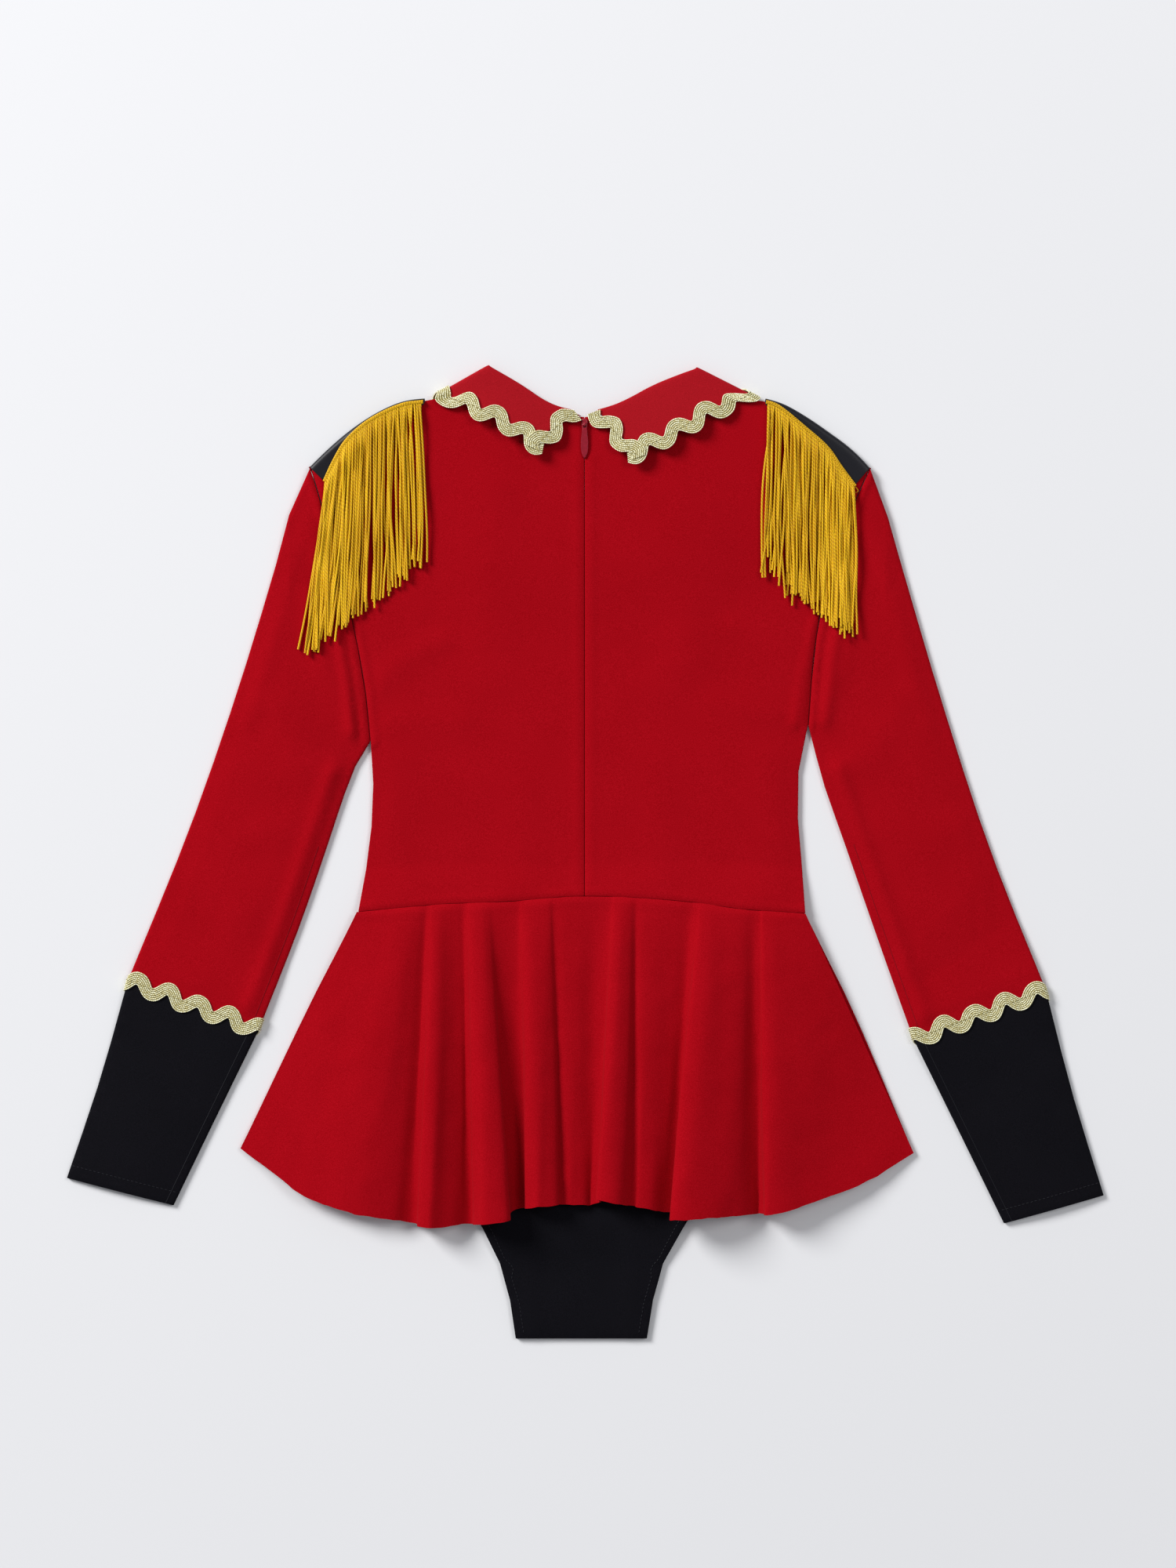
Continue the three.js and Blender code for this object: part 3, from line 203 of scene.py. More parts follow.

# %% [markdown]
# ## The cloths
# The red is a matte brushed knit whose nap catches light at a slant, which is what sheen does.
# The collar is the same knit with a little more nap, and its yarn colours are painted paler
# and pinker: a painted sheen. The black is a smoother jersey. The strap is satin, so it is less
# rough. All four use the one grain with their own numbers.

# %% Cloth materials
def cloth_material(name, yarn, fleck, fleck_share, thread, roughness, sheen, sheen_tint, bump, specular):
    material, tree, shader = new_material(name, {
        "Roughness": roughness, "Specular IOR Level": specular, "Sheen Weight": sheen,
        "Sheen Tint": (*sheen_tint, 1), "Sheen Roughness": 0.45})
    grain = add_node(tree, "ShaderNodeGroup", node_tree=cloth_grain)
    for socket, value in {"Yarn": (*yarn, 1), "Fleck": (*fleck, 1), "Fleck Share": fleck_share,
                          "Thread Size": thread}.items():
        grain.inputs[socket].default_value = value
    cover(tree, shader, grain.outputs["Color"], grain.outputs["Height"], bump, 0.25 * MM)
    return material


red_knit = cloth_material("red_knit", (0.30, 0.0006, 0.0038), (0.46, 0.0035, 0.0115), 0.65, 0.55,
                          0.95, 0.06, (1.0, 0.25, 0.28), 0.5, 0.04)
# The collar's yarn and fleck colours are paler and pinker than the red knit's: a painted sheen.
red_collar_painted_sheen = cloth_material("red_collar_painted_sheen", (0.305, 0.0024, 0.0066), (0.465, 0.006, 0.0150), 0.65, 0.5,
                            0.85, 0.10, (1.0, 0.35, 0.4), 0.4, 0.10)
black_stretch = cloth_material("black_stretch", (0.0022, 0.0021, 0.0035), (0.009, 0.008, 0.012), 0.5, 0.45,
                               0.75, 0.03, (0.6, 0.6, 0.7), 0.35, 0.06)
black_satin = cloth_material("black_satin", (0.004, 0.004, 0.007), (0.009, 0.009, 0.014), 0.4, 0.35,
                             0.42, 0.05, (0.6, 0.6, 0.8), 0.15, 0.28)
print("cloths", [m.name for m in (red_knit, red_collar_painted_sheen, black_stretch, black_satin)])

# %% [markdown]
# ## Metallic braid, fringe yarn and lacquer
# Ric-rac is woven from yarn wrapped in thin gold foil, so it is part metal and glitters in
# specks, which are painted into its colour as brighter and darker spots: painted glints. Fringe
# is a knitted rayon cord, silky and twisted, and its colour varies from strand to strand. Their
# patterns read attributes that the Geometry Nodes store on each thread: how far along it a point
# lies, how far round it, and a number for the thread itself. From these the colour is darker in
# the grooves between the plies, a painted shade.

# %% Thread materials
def thread_material(name, light, dark, twist_pitch, metallic, roughness, bump, specular, painted_glint=0.0):
    material, tree, shader = new_material(name, {
        "Metallic": metallic, "Roughness": roughness, "Specular IOR Level": specular})
    along, around_cos, around_sin, which = (
        add_node(tree, "ShaderNodeAttribute", attribute_name=stored).outputs["Fac"]
        for stored in ("along", "around_cos", "around_sin", "thread"))
    phase = math_node(tree, "MULTIPLY", along, 2 * math.pi / (twist_pitch * MM))
    wound = math_node(tree, "ADD",
                      math_node(tree, "MULTIPLY", math_node(tree, "SINE", phase), around_cos),
                      math_node(tree, "MULTIPLY", math_node(tree, "COSINE", phase), around_sin))
    # The twist is the plies' relief for the bump, and it also darkens the colour in the grooves between the plies: a
    # painted shade.
    ply_relief_and_shade = math_node(tree, "MULTIPLY", math_node(tree, "ADD", wound, 1), 0.5)
    variety = add_node(tree, "ShaderNodeTexWhiteNoise", {"W": which}, noise_dimensions="1D").outputs["Value"]
    tone = math_node(tree, "ADD", math_node(tree, "MULTIPLY", ply_relief_and_shade, 0.6),
                     math_node(tree, "MULTIPLY", variety, 0.4))
    # Painted glints: fine noise specks make the colour brighter and darker, standing in for the foil catching the
    # light.
    if painted_glint:
        place = add_node(tree, "ShaderNodeTexCoord").outputs["Object"]
        specks = add_node(tree, "ShaderNodeTexNoise", {"Vector": place, "Scale": 1 / (0.7 * MM), "Detail": 1.0})
        painted_glint_spots = add_node(tree, "ShaderNodeMapRange", {
            "Value": specks.outputs["Fac"], "From Min": 0.35, "From Max": 0.65, "To Min": -painted_glint, "To Max": painted_glint})
        tone = math_node(tree, "ADD", tone, painted_glint_spots.outputs["Result"])
    blend = add_node(tree, "ShaderNodeMix", {"Factor": tone, 6: (*dark, 1), 7: (*light, 1)}, data_type="RGBA")
    cover(tree, shader, blend.outputs[2], ply_relief_and_shade, bump, 0.3 * MM)
    return material


gold_braid = thread_material("gold_braid", (1.0, 1.0, 0.72), (0.56, 0.48, 0.18), 1.3, 0.05, 0.28, 0.6, 0.7, 0.9)
# The braid's ground ribbon is dark olive, a painted shade for the gaps between its threads.
braid_ground_painted_shade = thread_material("braid_ground_painted_shade", (0.34, 0.29, 0.10), (0.19, 0.16, 0.05), 1.3, 0.2, 0.6, 0.6, 0.2, 0.3)
gold_fringe = thread_material("gold_fringe", (0.98, 0.62, 0.014), (0.44, 0.19, 0.004), 2.4, 0.0, 0.5, 0.8, 0.18)
red_thread = thread_material("red_thread", (0.30, 0.003, 0.010), (0.14, 0.001, 0.004), 0.8, 0.0, 0.7, 0.3, 0.1)
black_thread = thread_material("black_thread", (0.016, 0.016, 0.021), (0.005, 0.005, 0.008), 0.8, 0.0, 0.5, 0.3, 0.2)


def lacquer_material():
    material, tree, shader = new_material("red_zip", {
        "Roughness": 0.36, "Specular IOR Level": 0.3, "Coat Weight": 0.1})
    place = add_node(tree, "ShaderNodeTexCoord").outputs["Object"]
    wear = add_node(tree, "ShaderNodeTexNoise", {"Vector": place, "Scale": 900.0, "Detail": 2.0}).outputs["Fac"]
    tint = add_node(tree, "ShaderNodeMix", {
        "Factor": wear, 6: (0.22, 0.004, 0.014, 1), 7: (0.34, 0.009, 0.026, 1)}, data_type="RGBA")
    cover(tree, shader, tint.outputs[2])
    return material


red_zip = lacquer_material()
print("threads", [m.name for m in (gold_braid, braid_ground_painted_shade, gold_fringe, red_thread, black_thread, red_zip)])

# %% [markdown]
# ## The pattern in numbers
# The pieces that are made anew here, such as braid, folds and stitches, follow the same lines as
# the solids. Lines are short lists of plan points in millimetres, X to the right and Y towards
# the neck, and each becomes a smooth curve that can be asked for the point at any length.

# %% Smooth lines
class Line:
    """A smooth plan curve through a few points, measured along its length."""

    def __init__(self, points, samples=40):
        given = np.array(points, float)
        padded = np.vstack([2 * given[0] - given[1], given, 2 * given[-1] - given[-2]])
        dense = []
        for i in range(len(given) - 1):
            a, b, c, d = padded[i:i + 4]
            k1, k2, k3 = (max(1e-6, float(np.linalg.norm(q - p))) ** 0.5 for p, q in ((a, b), (b, c), (c, d)))
            slope1 = ((b - a) / k1 - (c - a) / (k1 + k2) + (c - b) / k2) * k2
            slope2 = ((c - b) / k2 - (d - b) / (k2 + k3) + (d - c) / k3) * k2
            for t in np.linspace(0, 1, samples, endpoint=False):
                dense.append((2 * t**3 - 3 * t**2 + 1) * b + (t**3 - 2 * t**2 + t) * slope1
                             + (3 * t**2 - 2 * t**3) * c + (t**3 - t**2) * slope2)
        self.points = np.array(dense + [given[-1]])
        steps = np.linalg.norm(np.diff(self.points, axis=0), axis=1)
        self.marks = np.concatenate([[0], np.cumsum(steps)])
        self.length = float(self.marks[-1])

    def at(self, distance):
        return np.array([np.interp(distance, self.marks, column) for column in self.points.T])

    def heading(self, distance):
        step = self.at(min(self.length, distance + 0.5)) - self.at(max(0.0, distance - 0.5))
        return step / np.linalg.norm(step)


def smooth(start, end, value):
    t = min(1.0, max(0.0, (value - start) / (end - start)))
    return t * t * (3 - 2 * t)


def mix(a, b, t):
    return a + (b - a) * t


SIDES = {"left": -1, "right": 1}
CENTRE_X = -0.5
WAIST = Line([(-150.5, -39.5), (-92.5, -34.3), (-52.8, -32.8), (-0.5, -29.1), (72.5, -33.3), (100, -37.4),
              (145.9, -40.6)])
SHOULDER = {
    "left": [(-181.2, 252.9), (-158, 274.6), (-141.5, 286.4), (-119, 296.5), (-90, 302), (-60.6, 310.2)],
    "right": [(187.3, 252.6), (170, 269), (151, 282.6), (127, 296.5), (98, 302), (66, 309.2)],
}
SLEEVE_SEAM = {"left": [(-303.4, -84.8), (-216.4, -117.5)], "right": [(305.5, -91.0), (217.6, -123.8)]}
print("waist arc", round(WAIST.length, 1), "mm")

# %% [markdown]
# ## How the layers lie
# The hidden front leaves of the collar, the strap turnings and the braid under each arm lift
# what lies on them by their own thickness. The same rule gives the height of any point of the
# lower or the upper layer, so that trims made here sit on the cloth and not in it.

# %% Heights of the layers
CLOTH = 1.2
GAP = 0.3
LAYER = CLOTH + GAP
FLOOR_LAYER = CLOTH / 2
BRAID_LIFT = 0.9 + GAP
COLLAR_SPINE = {
    "left": [(-92, 298), (-60, 296), (-48, 262), (-20, 238)],
    "right": [(104, 298), (66, 296), (50, 262), (20, 238)],
}
# What lifts the cloth: its line, how far, and over what distance it sinks back.
LIFTS = [
    {"line": COLLAR_SPINE, "lift": LAYER + BRAID_LIFT, "near": 40, "far": 120},
    {"line": SHOULDER, "lift": LAYER, "near": 16, "far": 62},
    {"line": SLEEVE_SEAM, "lift": BRAID_LIFT, "near": 18, "far": 44},
]


def distance_to(line, x, y):
    best = math.inf
    for (ax, ay), (bx, by) in zip(line, line[1:]):
        along = ((x - ax) * (bx - ax) + (y - ay) * (by - ay)) / ((bx - ax) ** 2 + (by - ay) ** 2)
        t = min(1.0, max(0.0, along))
        best = min(best, math.hypot(x - mix(ax, bx, t), y - mix(ay, by, t)))
    return best


def lower_z(x, y):
    side = "left" if x < CENTRE_X else "right"
    lifted = max(row["lift"] * (1 - smooth(row["near"], row["far"], distance_to(row["line"][side], x, y)))
                 for row in LIFTS)
    return FLOOR_LAYER + lifted


def waist_y(x):
    return float(np.interp(x, WAIST.points[:, 0], WAIST.points[:, 1]))


print("upper layer at the centre", round(lower_z(0, 0) + LAYER + CLOTH / 2, 2), "mm")

# %% [markdown]
# ## Making meshes
# Three ways are used. A *wall* closes a grid of middle points into cloth with two faces and a
# rim. A *fine copy* takes a flat solid, rounds its cut edges, and splits it into small faces
# that can be pushed into soft creases. *Threads* are curves that Geometry Nodes turn into yarn.

# %% Objects, and meshes from grids
@contextmanager
def editing(mesh):
    """The mesh as a bmesh to work on, written back at the end."""
    shape = bmesh.new()
    shape.from_mesh(mesh)
    yield shape
    shape.to_mesh(mesh)
    shape.free()


def new_object(name, mesh, material, body="garment"):
    piece = bpy.data.objects.new(name, mesh)
    scene.collection.objects.link(piece)
    mesh.materials.clear()
    mesh.materials.append(material)
    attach(piece, body)
    return piece


SHARP = math.radians(60)


def finish_mesh(mesh, angle=40):
    with editing(mesh) as shape:
        bmesh.ops.recalc_face_normals(shape, faces=shape.faces)
        if shape.calc_volume(signed=True) < 0:
            bmesh.ops.reverse_faces(shape, faces=shape.faces)
    mesh.polygons.foreach_set("use_smooth", [True] * len(mesh.polygons))
    mesh.set_sharp_from_angle(angle=math.radians(angle))
    return mesh


def wall_mesh(name, grid, thickness, rounded=True):
    """Cloth from a grid of middle points, in millimetres: rows, columns, three numbers each."""
    grid = np.array(grid, float)
    down = np.gradient(grid, axis=0)
    across = np.gradient(grid, axis=1)
    normals = np.cross(down, across)
    normals /= np.maximum(1e-9, np.linalg.norm(normals, axis=2, keepdims=True))
    rows, columns = grid.shape[:2]
    skins = [grid + normals * thickness / 2, grid - normals * thickness / 2]
    points = np.concatenate([skin.reshape(-1, 3) for skin in skins]) * MM

    def number(skin, i, j):
        return skin * rows * columns + i * columns + j

    faces = []
    for i in range(rows - 1):
        for j in range(columns - 1):
            corners = ((i, j), (i + 1, j), (i + 1, j + 1), (i, j + 1))
            faces.append([number(0, *corner) for corner in corners])
            faces.append([number(1, *corner) for corner in reversed(corners)])
    rim = [(0, j) for j in range(columns)] + [(i, columns - 1) for i in range(1, rows)]
    rim += [(rows - 1, j) for j in range(columns - 2, -1, -1)] + [(i, 0) for i in range(rows - 2, 0, -1)]
    for here, after in zip(rim, rim[1:] + rim[:1]):
        faces.append([number(0, *here), number(0, *after), number(1, *after), number(1, *here)])
    mesh = bpy.data.meshes.new(name)
    mesh.from_pydata([tuple(p) for p in points], [], faces)
    if rounded:
        round_rims(mesh, thickness * 0.28)
    return finish_mesh(mesh)


def round_rims(mesh, radius):
    with editing(mesh) as shape:
        bmesh.ops.recalc_face_normals(shape, faces=shape.faces)
        sharp = [edge for edge in shape.edges if edge.is_manifold and edge.calc_face_angle() > SHARP]
        bmesh.ops.bevel(shape, geom=sharp, offset=radius * MM, offset_type="OFFSET", segments=2, profile=0.5,
                        affect="EDGES", clamp_overlap=True)
        bmesh.ops.remove_doubles(shape, verts=shape.verts, dist=0.04 * MM)
        bmesh.ops.dissolve_degenerate(shape, edges=shape.edges, dist=0.02 * MM)


def close_slivers(shape, least=0.012):
    """Welds pinched points, and takes out the middle point of triangles that have no height."""
    bmesh.ops.remove_doubles(shape, verts=shape.verts, dist=0.06 * MM)
    bmesh.ops.dissolve_degenerate(shape, edges=shape.edges, dist=0.03 * MM)
    bmesh.ops.triangulate(shape, faces=shape.faces)
    for _ in range(3):
        targets = {}
        for face in shape.faces:
            longest = max(face.edges, key=lambda edge: edge.calc_length())
            if 2 * face.calc_area() < least * MM * longest.calc_length():
                middle = next(vert for vert in face.verts if vert not in longest.verts)
                end = min(longest.verts, key=lambda vert: (vert.co - middle.co).length)
                if not {middle, end} & (targets.keys() | set(targets.values())):
                    targets[middle] = end
        bmesh.ops.weld_verts(shape, targetmap=targets)
        twins = {}
        for face in shape.faces:
            twins.setdefault(frozenset(face.verts), []).append(face)
        doubled = [face for faces in twins.values() if len(faces) > 1 for face in faces]
        bmesh.ops.delete(shape, geom=doubled, context="FACES")
        fins = [face for face in shape.faces if any(len(edge.link_faces) == 1 for edge in face.edges)]
        bmesh.ops.delete(shape, geom=fins, context="FACES")


def solid_copy(node, name):
    """A copy of a solid's mesh, with its split corners welded."""
    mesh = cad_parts[node].data.copy()
    mesh.name = name
    with editing(mesh) as shape:
        bmesh.ops.remove_doubles(shape, verts=shape.verts, dist=1e-6)
    return mesh


def fine_copy(node, name, target, rim=0.34):
    """A copy of a solid with rounded cut edges and no edge longer than target millimetres."""
    mesh = solid_copy(node, name)
    round_rims(mesh, rim)
    with editing(mesh) as shape:
        bmesh.ops.triangulate(shape, faces=shape.faces)
        for _ in range(6):
            long_edges = [edge for edge in shape.edges if edge.calc_length() > target * MM]
            if not long_edges:
                break
            bmesh.ops.subdivide_edges(shape, edges=long_edges, cuts=1)
            bmesh.ops.triangulate(shape, faces=shape.faces)
        close_slivers(shape)
    return mesh


def reshape(mesh, move):
    """Moves every vertex by a rule: move(x, y, z) gives the new place, all in millimetres."""
    count = len(mesh.vertices)
    places = np.empty(count * 3)
    mesh.vertices.foreach_get("co", places)
    places = places.reshape(-1, 3) / MM
    moved = np.array([move(*place) for place in places]) * MM
    mesh.vertices.foreach_set("co", moved.ravel())
    mesh.update()
    return mesh


def lay(piece, with_pieces=()):
    """Takes a flat-laid piece of cloth and the pieces sewn on it, and does nothing with them."""
    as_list(with_pieces)


# %% [markdown]
# ## Soft creases
# Laid cloth is never quite flat. Long soft ridges run where it was pulled or where a seam
# tightens it. Each crease is a line with a width and a height, placed where it shows. A slow
# swell of noise does the rest.

# %% Crease helpers
def crease_height(creases, x, y):
    return sum(height * math.exp(-(distance_to(line, x, y) / width) ** 2) for width, height, *line in creases)


def swell(x, y, size, seed):
    return noise.noise(Vector((x / size, y / size, seed)))


def edge_fade(outline, x, y, reach):
    return smooth(0, reach, distance_to(outline, x, y))


# %% [markdown]
# ## Bodice
# The back is two panels that meet at the zip, and the front, which lies under them, is one. Each
# is a flat cut of knit, so a fine copy of its solid is enough. The back panels are pushed up into
# soft creases: one along each side of the zip, where the tape stiffens the cloth, and a few from the armholes.

# %% Bodice panels
# Each crease: its width and height in millimetres, and the points of its line.
BODICE_CREASES = {
    "left": [
        (2.6, 0.35, (-5.5, 262), (-5.5, -20)),
        (9, 0.7, (-146, 104), (-120, 128), (-96, 140)),
        (11, 0.6, (-143, 80), (-118, 88), (-84, 86)),
        (16, 0.7, (-40, 40), (-46, -10), (-42, -30)),
        (14, 0.6, (-120, -30), (-128, 20), (-122, 60)),
        (20, 0.8, (-60, 240), (-70, 180), (-64, 120)),
    ],
    "right": [
        (2.6, 0.35, (4.5, 262), (4.5, -20)),
        (9, 0.7, (150, 112), (124, 132), (100, 150)),
        (11, 0.6, (147, 90), (118, 92), (90, 100)),
        (16, 0.7, (46, 60), (50, 0), (44, -30)),
        (14, 0.6, (118, -32), (126, 20), (120, 60)),
        (20, 0.8, (60, 236), (74, 180), (66, 130)),
        (4, 2.6, (141, 86), (145, 116), (152, 150)),
    ],
}
SIDE_LINES = {
    "left": [(-150.5, -39.5), (-144.8, -6.8), (-141.5, 22), (-140.8, 48), (-142.4, 73.8), (-145.9, 108.7),
             (-154.7, 155.5), (-168, 208), (-181.2, 252.9)],
    "right": [(145.9, -40.6), (143.6, -6.8), (141.3, 19.2), (140.9, 48), (147.7, 84.2), (151.5, 133),
              (160, 180), (173, 220), (187.3, 252.6)],
}
ARMHOLE = {side: [p for p in line if p[1] > 70] for side, line in SIDE_LINES.items()}


def seam_roll(distance, height):
    """The soft roll of cloth that stands beside a seam, because the seam pulls its edge down."""
    return height * math.exp(-((distance - 3.2) / 1.9) ** 2)


def bodice_back(side):
    outline = SIDE_LINES[side]
    waist = [tuple(p) for p in WAIST.points[::20]]

    def move(x, y, z):
        fade = edge_fade(outline, x, y, 14) * edge_fade(waist, x, y, 10) * edge_fade(SHOULDER[side], x, y, 12)
        lifted = crease_height(BODICE_CREASES[side], x, y) + 0.5 * (0.5 + swell(x, y, 46, 3))
        to_waist = distance_to(waist, x, y)
        seam = math.exp(-((x - CENTRE_X) / 1.3) ** 2) + math.exp(-(to_waist / 1.3) ** 2)
        roll = seam_roll(distance_to(ARMHOLE[side], x, y), 0.8) + seam_roll(to_waist, 0.45)
        return x, y, z + lifted * fade + roll - 0.22 * min(1.0, seam)

    mesh = reshape(fine_copy(f"back_{side}", f"bodice_back_{side}", 3.8), move)
    piece = new_object(f"bodice_back_{side}", finish_mesh(mesh), red_knit)
    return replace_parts(piece, f"back_{side}")


def plain_layer(node, name):
    """A hidden layer that lies flat: its solid with rounded edges, and coarse."""
    piece = new_object(name, finish_mesh(fine_copy(node, name, 14)), red_knit)
    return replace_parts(piece, node)


backs = [bodice_back(side) for side in SIDES]
lay(plain_layer("front_body", "bodice_front"))
for back in backs:
    lay(back)

# %% [markdown]
# ## Sleeves and cuffs
# A sleeve is a tube that was pressed flat, so it has two folded edges and lies double. The
# solid has that form already; the upper wall gets its creases, strongest inside the elbow and
# at the armhole, and the cuffs, which are tighter, get almost none.

# %% Sleeves and cuffs
SLEEVE_CREASES = {
    "left": [
        (8, 1.1, (-150, 78), (-172, 118), (-180, 168)),
        (12, 0.8, (-158, 44), (-188, 60), (-206, 96)),
        (13, 0.6, (-196, 20), (-226, 10), (-250, 22)),
        (15, 0.6, (-214, -30), (-246, -70), (-262, -90)),
        (10, 0.8, (-186, 226), (-206, 150), (-226, 90)),
        (7, 1.9, (-166, 52), (-182, 4), (-199, -45), (-223, -108)),
        (4, 2.6, (-154, 80), (-157, 110), (-163, 146), (-170, 180)),
    ],
    "right": [
        (8, 1.1, (156, 84), (170, 124), (178, 170)),
        (12, 0.8, (160, 50), (190, 66), (210, 100)),
        (13, 0.6, (200, 16), (230, 10), (254, 20)),
        (15, 0.6, (220, -40), (250, -76), (266, -96)),
        (10, 0.8, (192, 226), (212, 150), (232, 90)),
        (7, 1.9, (166, 54), (183, 6), (203, -50), (225, -114)),
        (5, 2.2, (157, 88), (162, 126), (170, 170)),
    ],
}
ARM_EDGES = {
    "left": {
        "sleeve": {"outer": [(-230.1, 109.7), (-261.8, 18.2), (-303.4, -84.8)],
                   "inner": [(-171.9, 2.1), (-189, -47.3), (-216.4, -117.5)]},
        "cuff": {"outer": [(-303.4, -84.8), (-322.7, -152.4), (-344.2, -216.3)],
                 "inner": [(-216.4, -117.5), (-243.6, -173), (-273.3, -234.5)]},
    },
    "right": {
        "sleeve": {"outer": [(235.3, 104.5), (268.1, 3.6), (305.5, -91)],
                   "inner": [(172.9, 3.6), (192.7, -53.6), (217.6, -123.8)]},
        "cuff": {"outer": [(305.5, -91), (324.2, -162.8), (344.2, -227.8)],
                 "inner": [(217.6, -123.8), (247.3, -184), (277.9, -246.5)]},
    },
}
SHOULDER_TIP = {"left": [(-182.6, 255), (-205.1, 191.9)], "right": [(188.9, 254.8), (210.9, 187.2)]}
UNDERARM = {"left": [(-157.3, 45.2), (-142.7, 73.4)], "right": [(157.3, 48.4), (148.1, 83.8)]}


def arm_outline(side):
    """The whole edge of an arm: down the outside, along the hem, and up the inside."""
    sleeve, cuff = ARM_EDGES[side]["sleeve"], ARM_EDGES[side]["cuff"]
    armhole = [p for p in ARMHOLE[side] if abs(p[0]) > 145 and 100 < p[1] < 230]
    return (SHOULDER_TIP[side] + sleeve["outer"] + cuff["outer"][1:] + cuff["inner"][::-1] + sleeve["inner"][1::-1]
            + UNDERARM[side] + armhole + SHOULDER_TIP[side][:1])


def arm_piece(part, name, side, material, lively, target):
    outline = arm_outline(side)

    def move(x, y, z):
        upper = smooth(1.2, 1.6, z - lower_z(x, y) + FLOOR_LAYER)
        fade = edge_fade(outline, x, y, 16) * edge_fade(SLEEVE_SEAM[side], x, y, 14)
        lifted = crease_height(SLEEVE_CREASES[side], x, y) + 0.6 * (0.5 + swell(x, y, 40, 7))
        return x, y, z + upper * (lively * fade * lifted + seam_roll(distance_to(ARMHOLE[side], x, y), 1.0))

    mesh = reshape(fine_copy(f"{part}_{side}", name, target, rim=0.3), move)
    piece = new_object(name, finish_mesh(mesh), material)
    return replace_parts(piece, f"{part}_{side}")


sleeves = {side: arm_piece("sleeve", f"red_sleeve_{side}", side, red_knit, 1, 3.8)
           for side in SIDES}
cuffs = {side: arm_piece("cuff", f"black_cuff_{side}", side, black_stretch, 0.6, 7)
         for side in SIDES}
for side in SIDES:
    lay(sleeves[side])
    lay(cuffs[side])

# %% [markdown]
# ## Briefs
# The leotard goes on below the waist as black briefs, a front and a back that lie on each other.
# Only the narrow part shows under the hem of the peplum. It is smooth, stretched jersey.

# %% Briefs
def briefs_piece(node, name, target, lively):
    def move(x, y, z):
        puff = 0.35 * math.exp(-((abs(x + 3) - 33) / 6) ** 2) if y < -250 else 0.0
        return x, y, z + lively * (puff + 0.3 * (0.5 + swell(x, y, 30, 11)) * smooth(0, 10, y + 322.8))

    mesh = reshape(fine_copy(node, name, target), move)
    piece = new_object(name, finish_mesh(mesh), black_stretch)
    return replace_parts(piece, node)


briefs_front = briefs_piece("briefs_front", "briefs_under", 14, 0)
briefs_back = briefs_piece("briefs_back", "briefs_upper", 7, 1)
lay(briefs_front)
lay(briefs_back)

# %% [markdown]
# ## Peplum
# The peplum is cut as part of a ring, so its hem is longer than the waist seam and has to stand
# in folds. The front half lies flat on the floor. The back half is drawn with a fold line for
# each ridge and valley, as on the solid, but with many more steps, and with the small bends and
# the raw, slightly wavy hem that only a fine mesh can hold.

# %% Peplum, front half
lay(plain_layer("peplum_front", "peplum_under"))

# %% Peplum, back half
FOLDS = [
    # waist x, hem x, hem y, height at the hem
    (-151.5, -228.8, -196.6, 0), (-141, -205, -214.5, 2.4), (-131, -181, -230, 4.8), (-122, -160, -237, 6.6),
    (-115, -143, -240.9, 6.2), (-109.5, -127, -243.6, 3.6), (-105.5, -114.5, -245.6, 0.6),
    (-103, -110.8, -246.6, 4), (-101, -108.6, -247.2, 7.6), (-97, -102.5, -248, 8.8), (-91, -91.5, -247.4, 5),
    (-85, -82, -246.4, 1.6), (-81, -76, -246.2, 0.3), (-78.5, -73, -246, 4.5), (-77, -72.2, -245.4, 8.5),
    (-74, -66, -245, 11.5), (-69, -55, -243.5, 11.5), (-66, -49, -242.4, 9), (-61.5, -51.2, -239.6, 4.5),
    (-50, -45.5, -236.4, 0.3), (-44, -39.8, -235.4, 1.2), (-41.5, -38.2, -235, 6), (-37, -33, -234.2, 8.8),
    (-29, -24.5, -233.4, 7.8), (-24, -18.8, -233, 5.6), (-21.5, -16.4, -233, 2.6), (-14, -10, -233.3, 3.2),
    (-6, -2.5, -233.6, 2.4), (8, 3.4, -233.8, 0.3), (17, 9.2, -231.5, 3.5), (20, 7.6, -228.8, 8.5),
    (24, 15, -230.4, 10.5), (29.5, 25.5, -232.8, 8), (33.4, 31, -233.6, 3.8), (38, 35.5, -234.6, 5.4),
    (47, 42, -235.9, 5), (60, 51, -237.8, 2), (70, 58.5, -238.8, 0.4), (74, 58.4, -240.4, 5.5),
    (77, 55.3, -242.3, 10.6), (82.5, 66, -241.8, 12.6), (93, 86, -240.8, 9.6), (104, 103, -240, 6),
    (112, 114, -239.6, 1.2), (116, 117.8, -239.3, 3.6), (117.2, 118.4, -239.6, 8), (122, 127, -238.4, 9.6),
    (130, 146, -232.8, 7.4), (138, 180, -221, 3.8), (146, 217.9, -199.7, 0),
]
BRIEFS_SIDES = [
    # height, left edge, right edge
    (-42, -149.5, 145.2), (-95, -151, 149), (-130, -138, 136), (-165, -119, 117), (-215, -88, 86),
    (-246, -70.1, 67), (-266, -59.3, 54.9),
]
PEPLUM_ROWS = 44
PEPLUM_DEPTH = 205
FOLD_LIFT = 1.5
PEPLUM_PER_FOLD = 6


def peplum_base(x, y):
    heights = [-row[0] for row in BRIEFS_SIDES]
    left = float(np.interp(-y, heights, [row[1] for row in BRIEFS_SIDES]))
    right = float(np.interp(-y, heights, [row[2] for row in BRIEFS_SIDES]))
    return FLOOR_LAYER + LAYER * (1 + 2 * (1 - smooth(3, 75, max(left - x, x - right))))


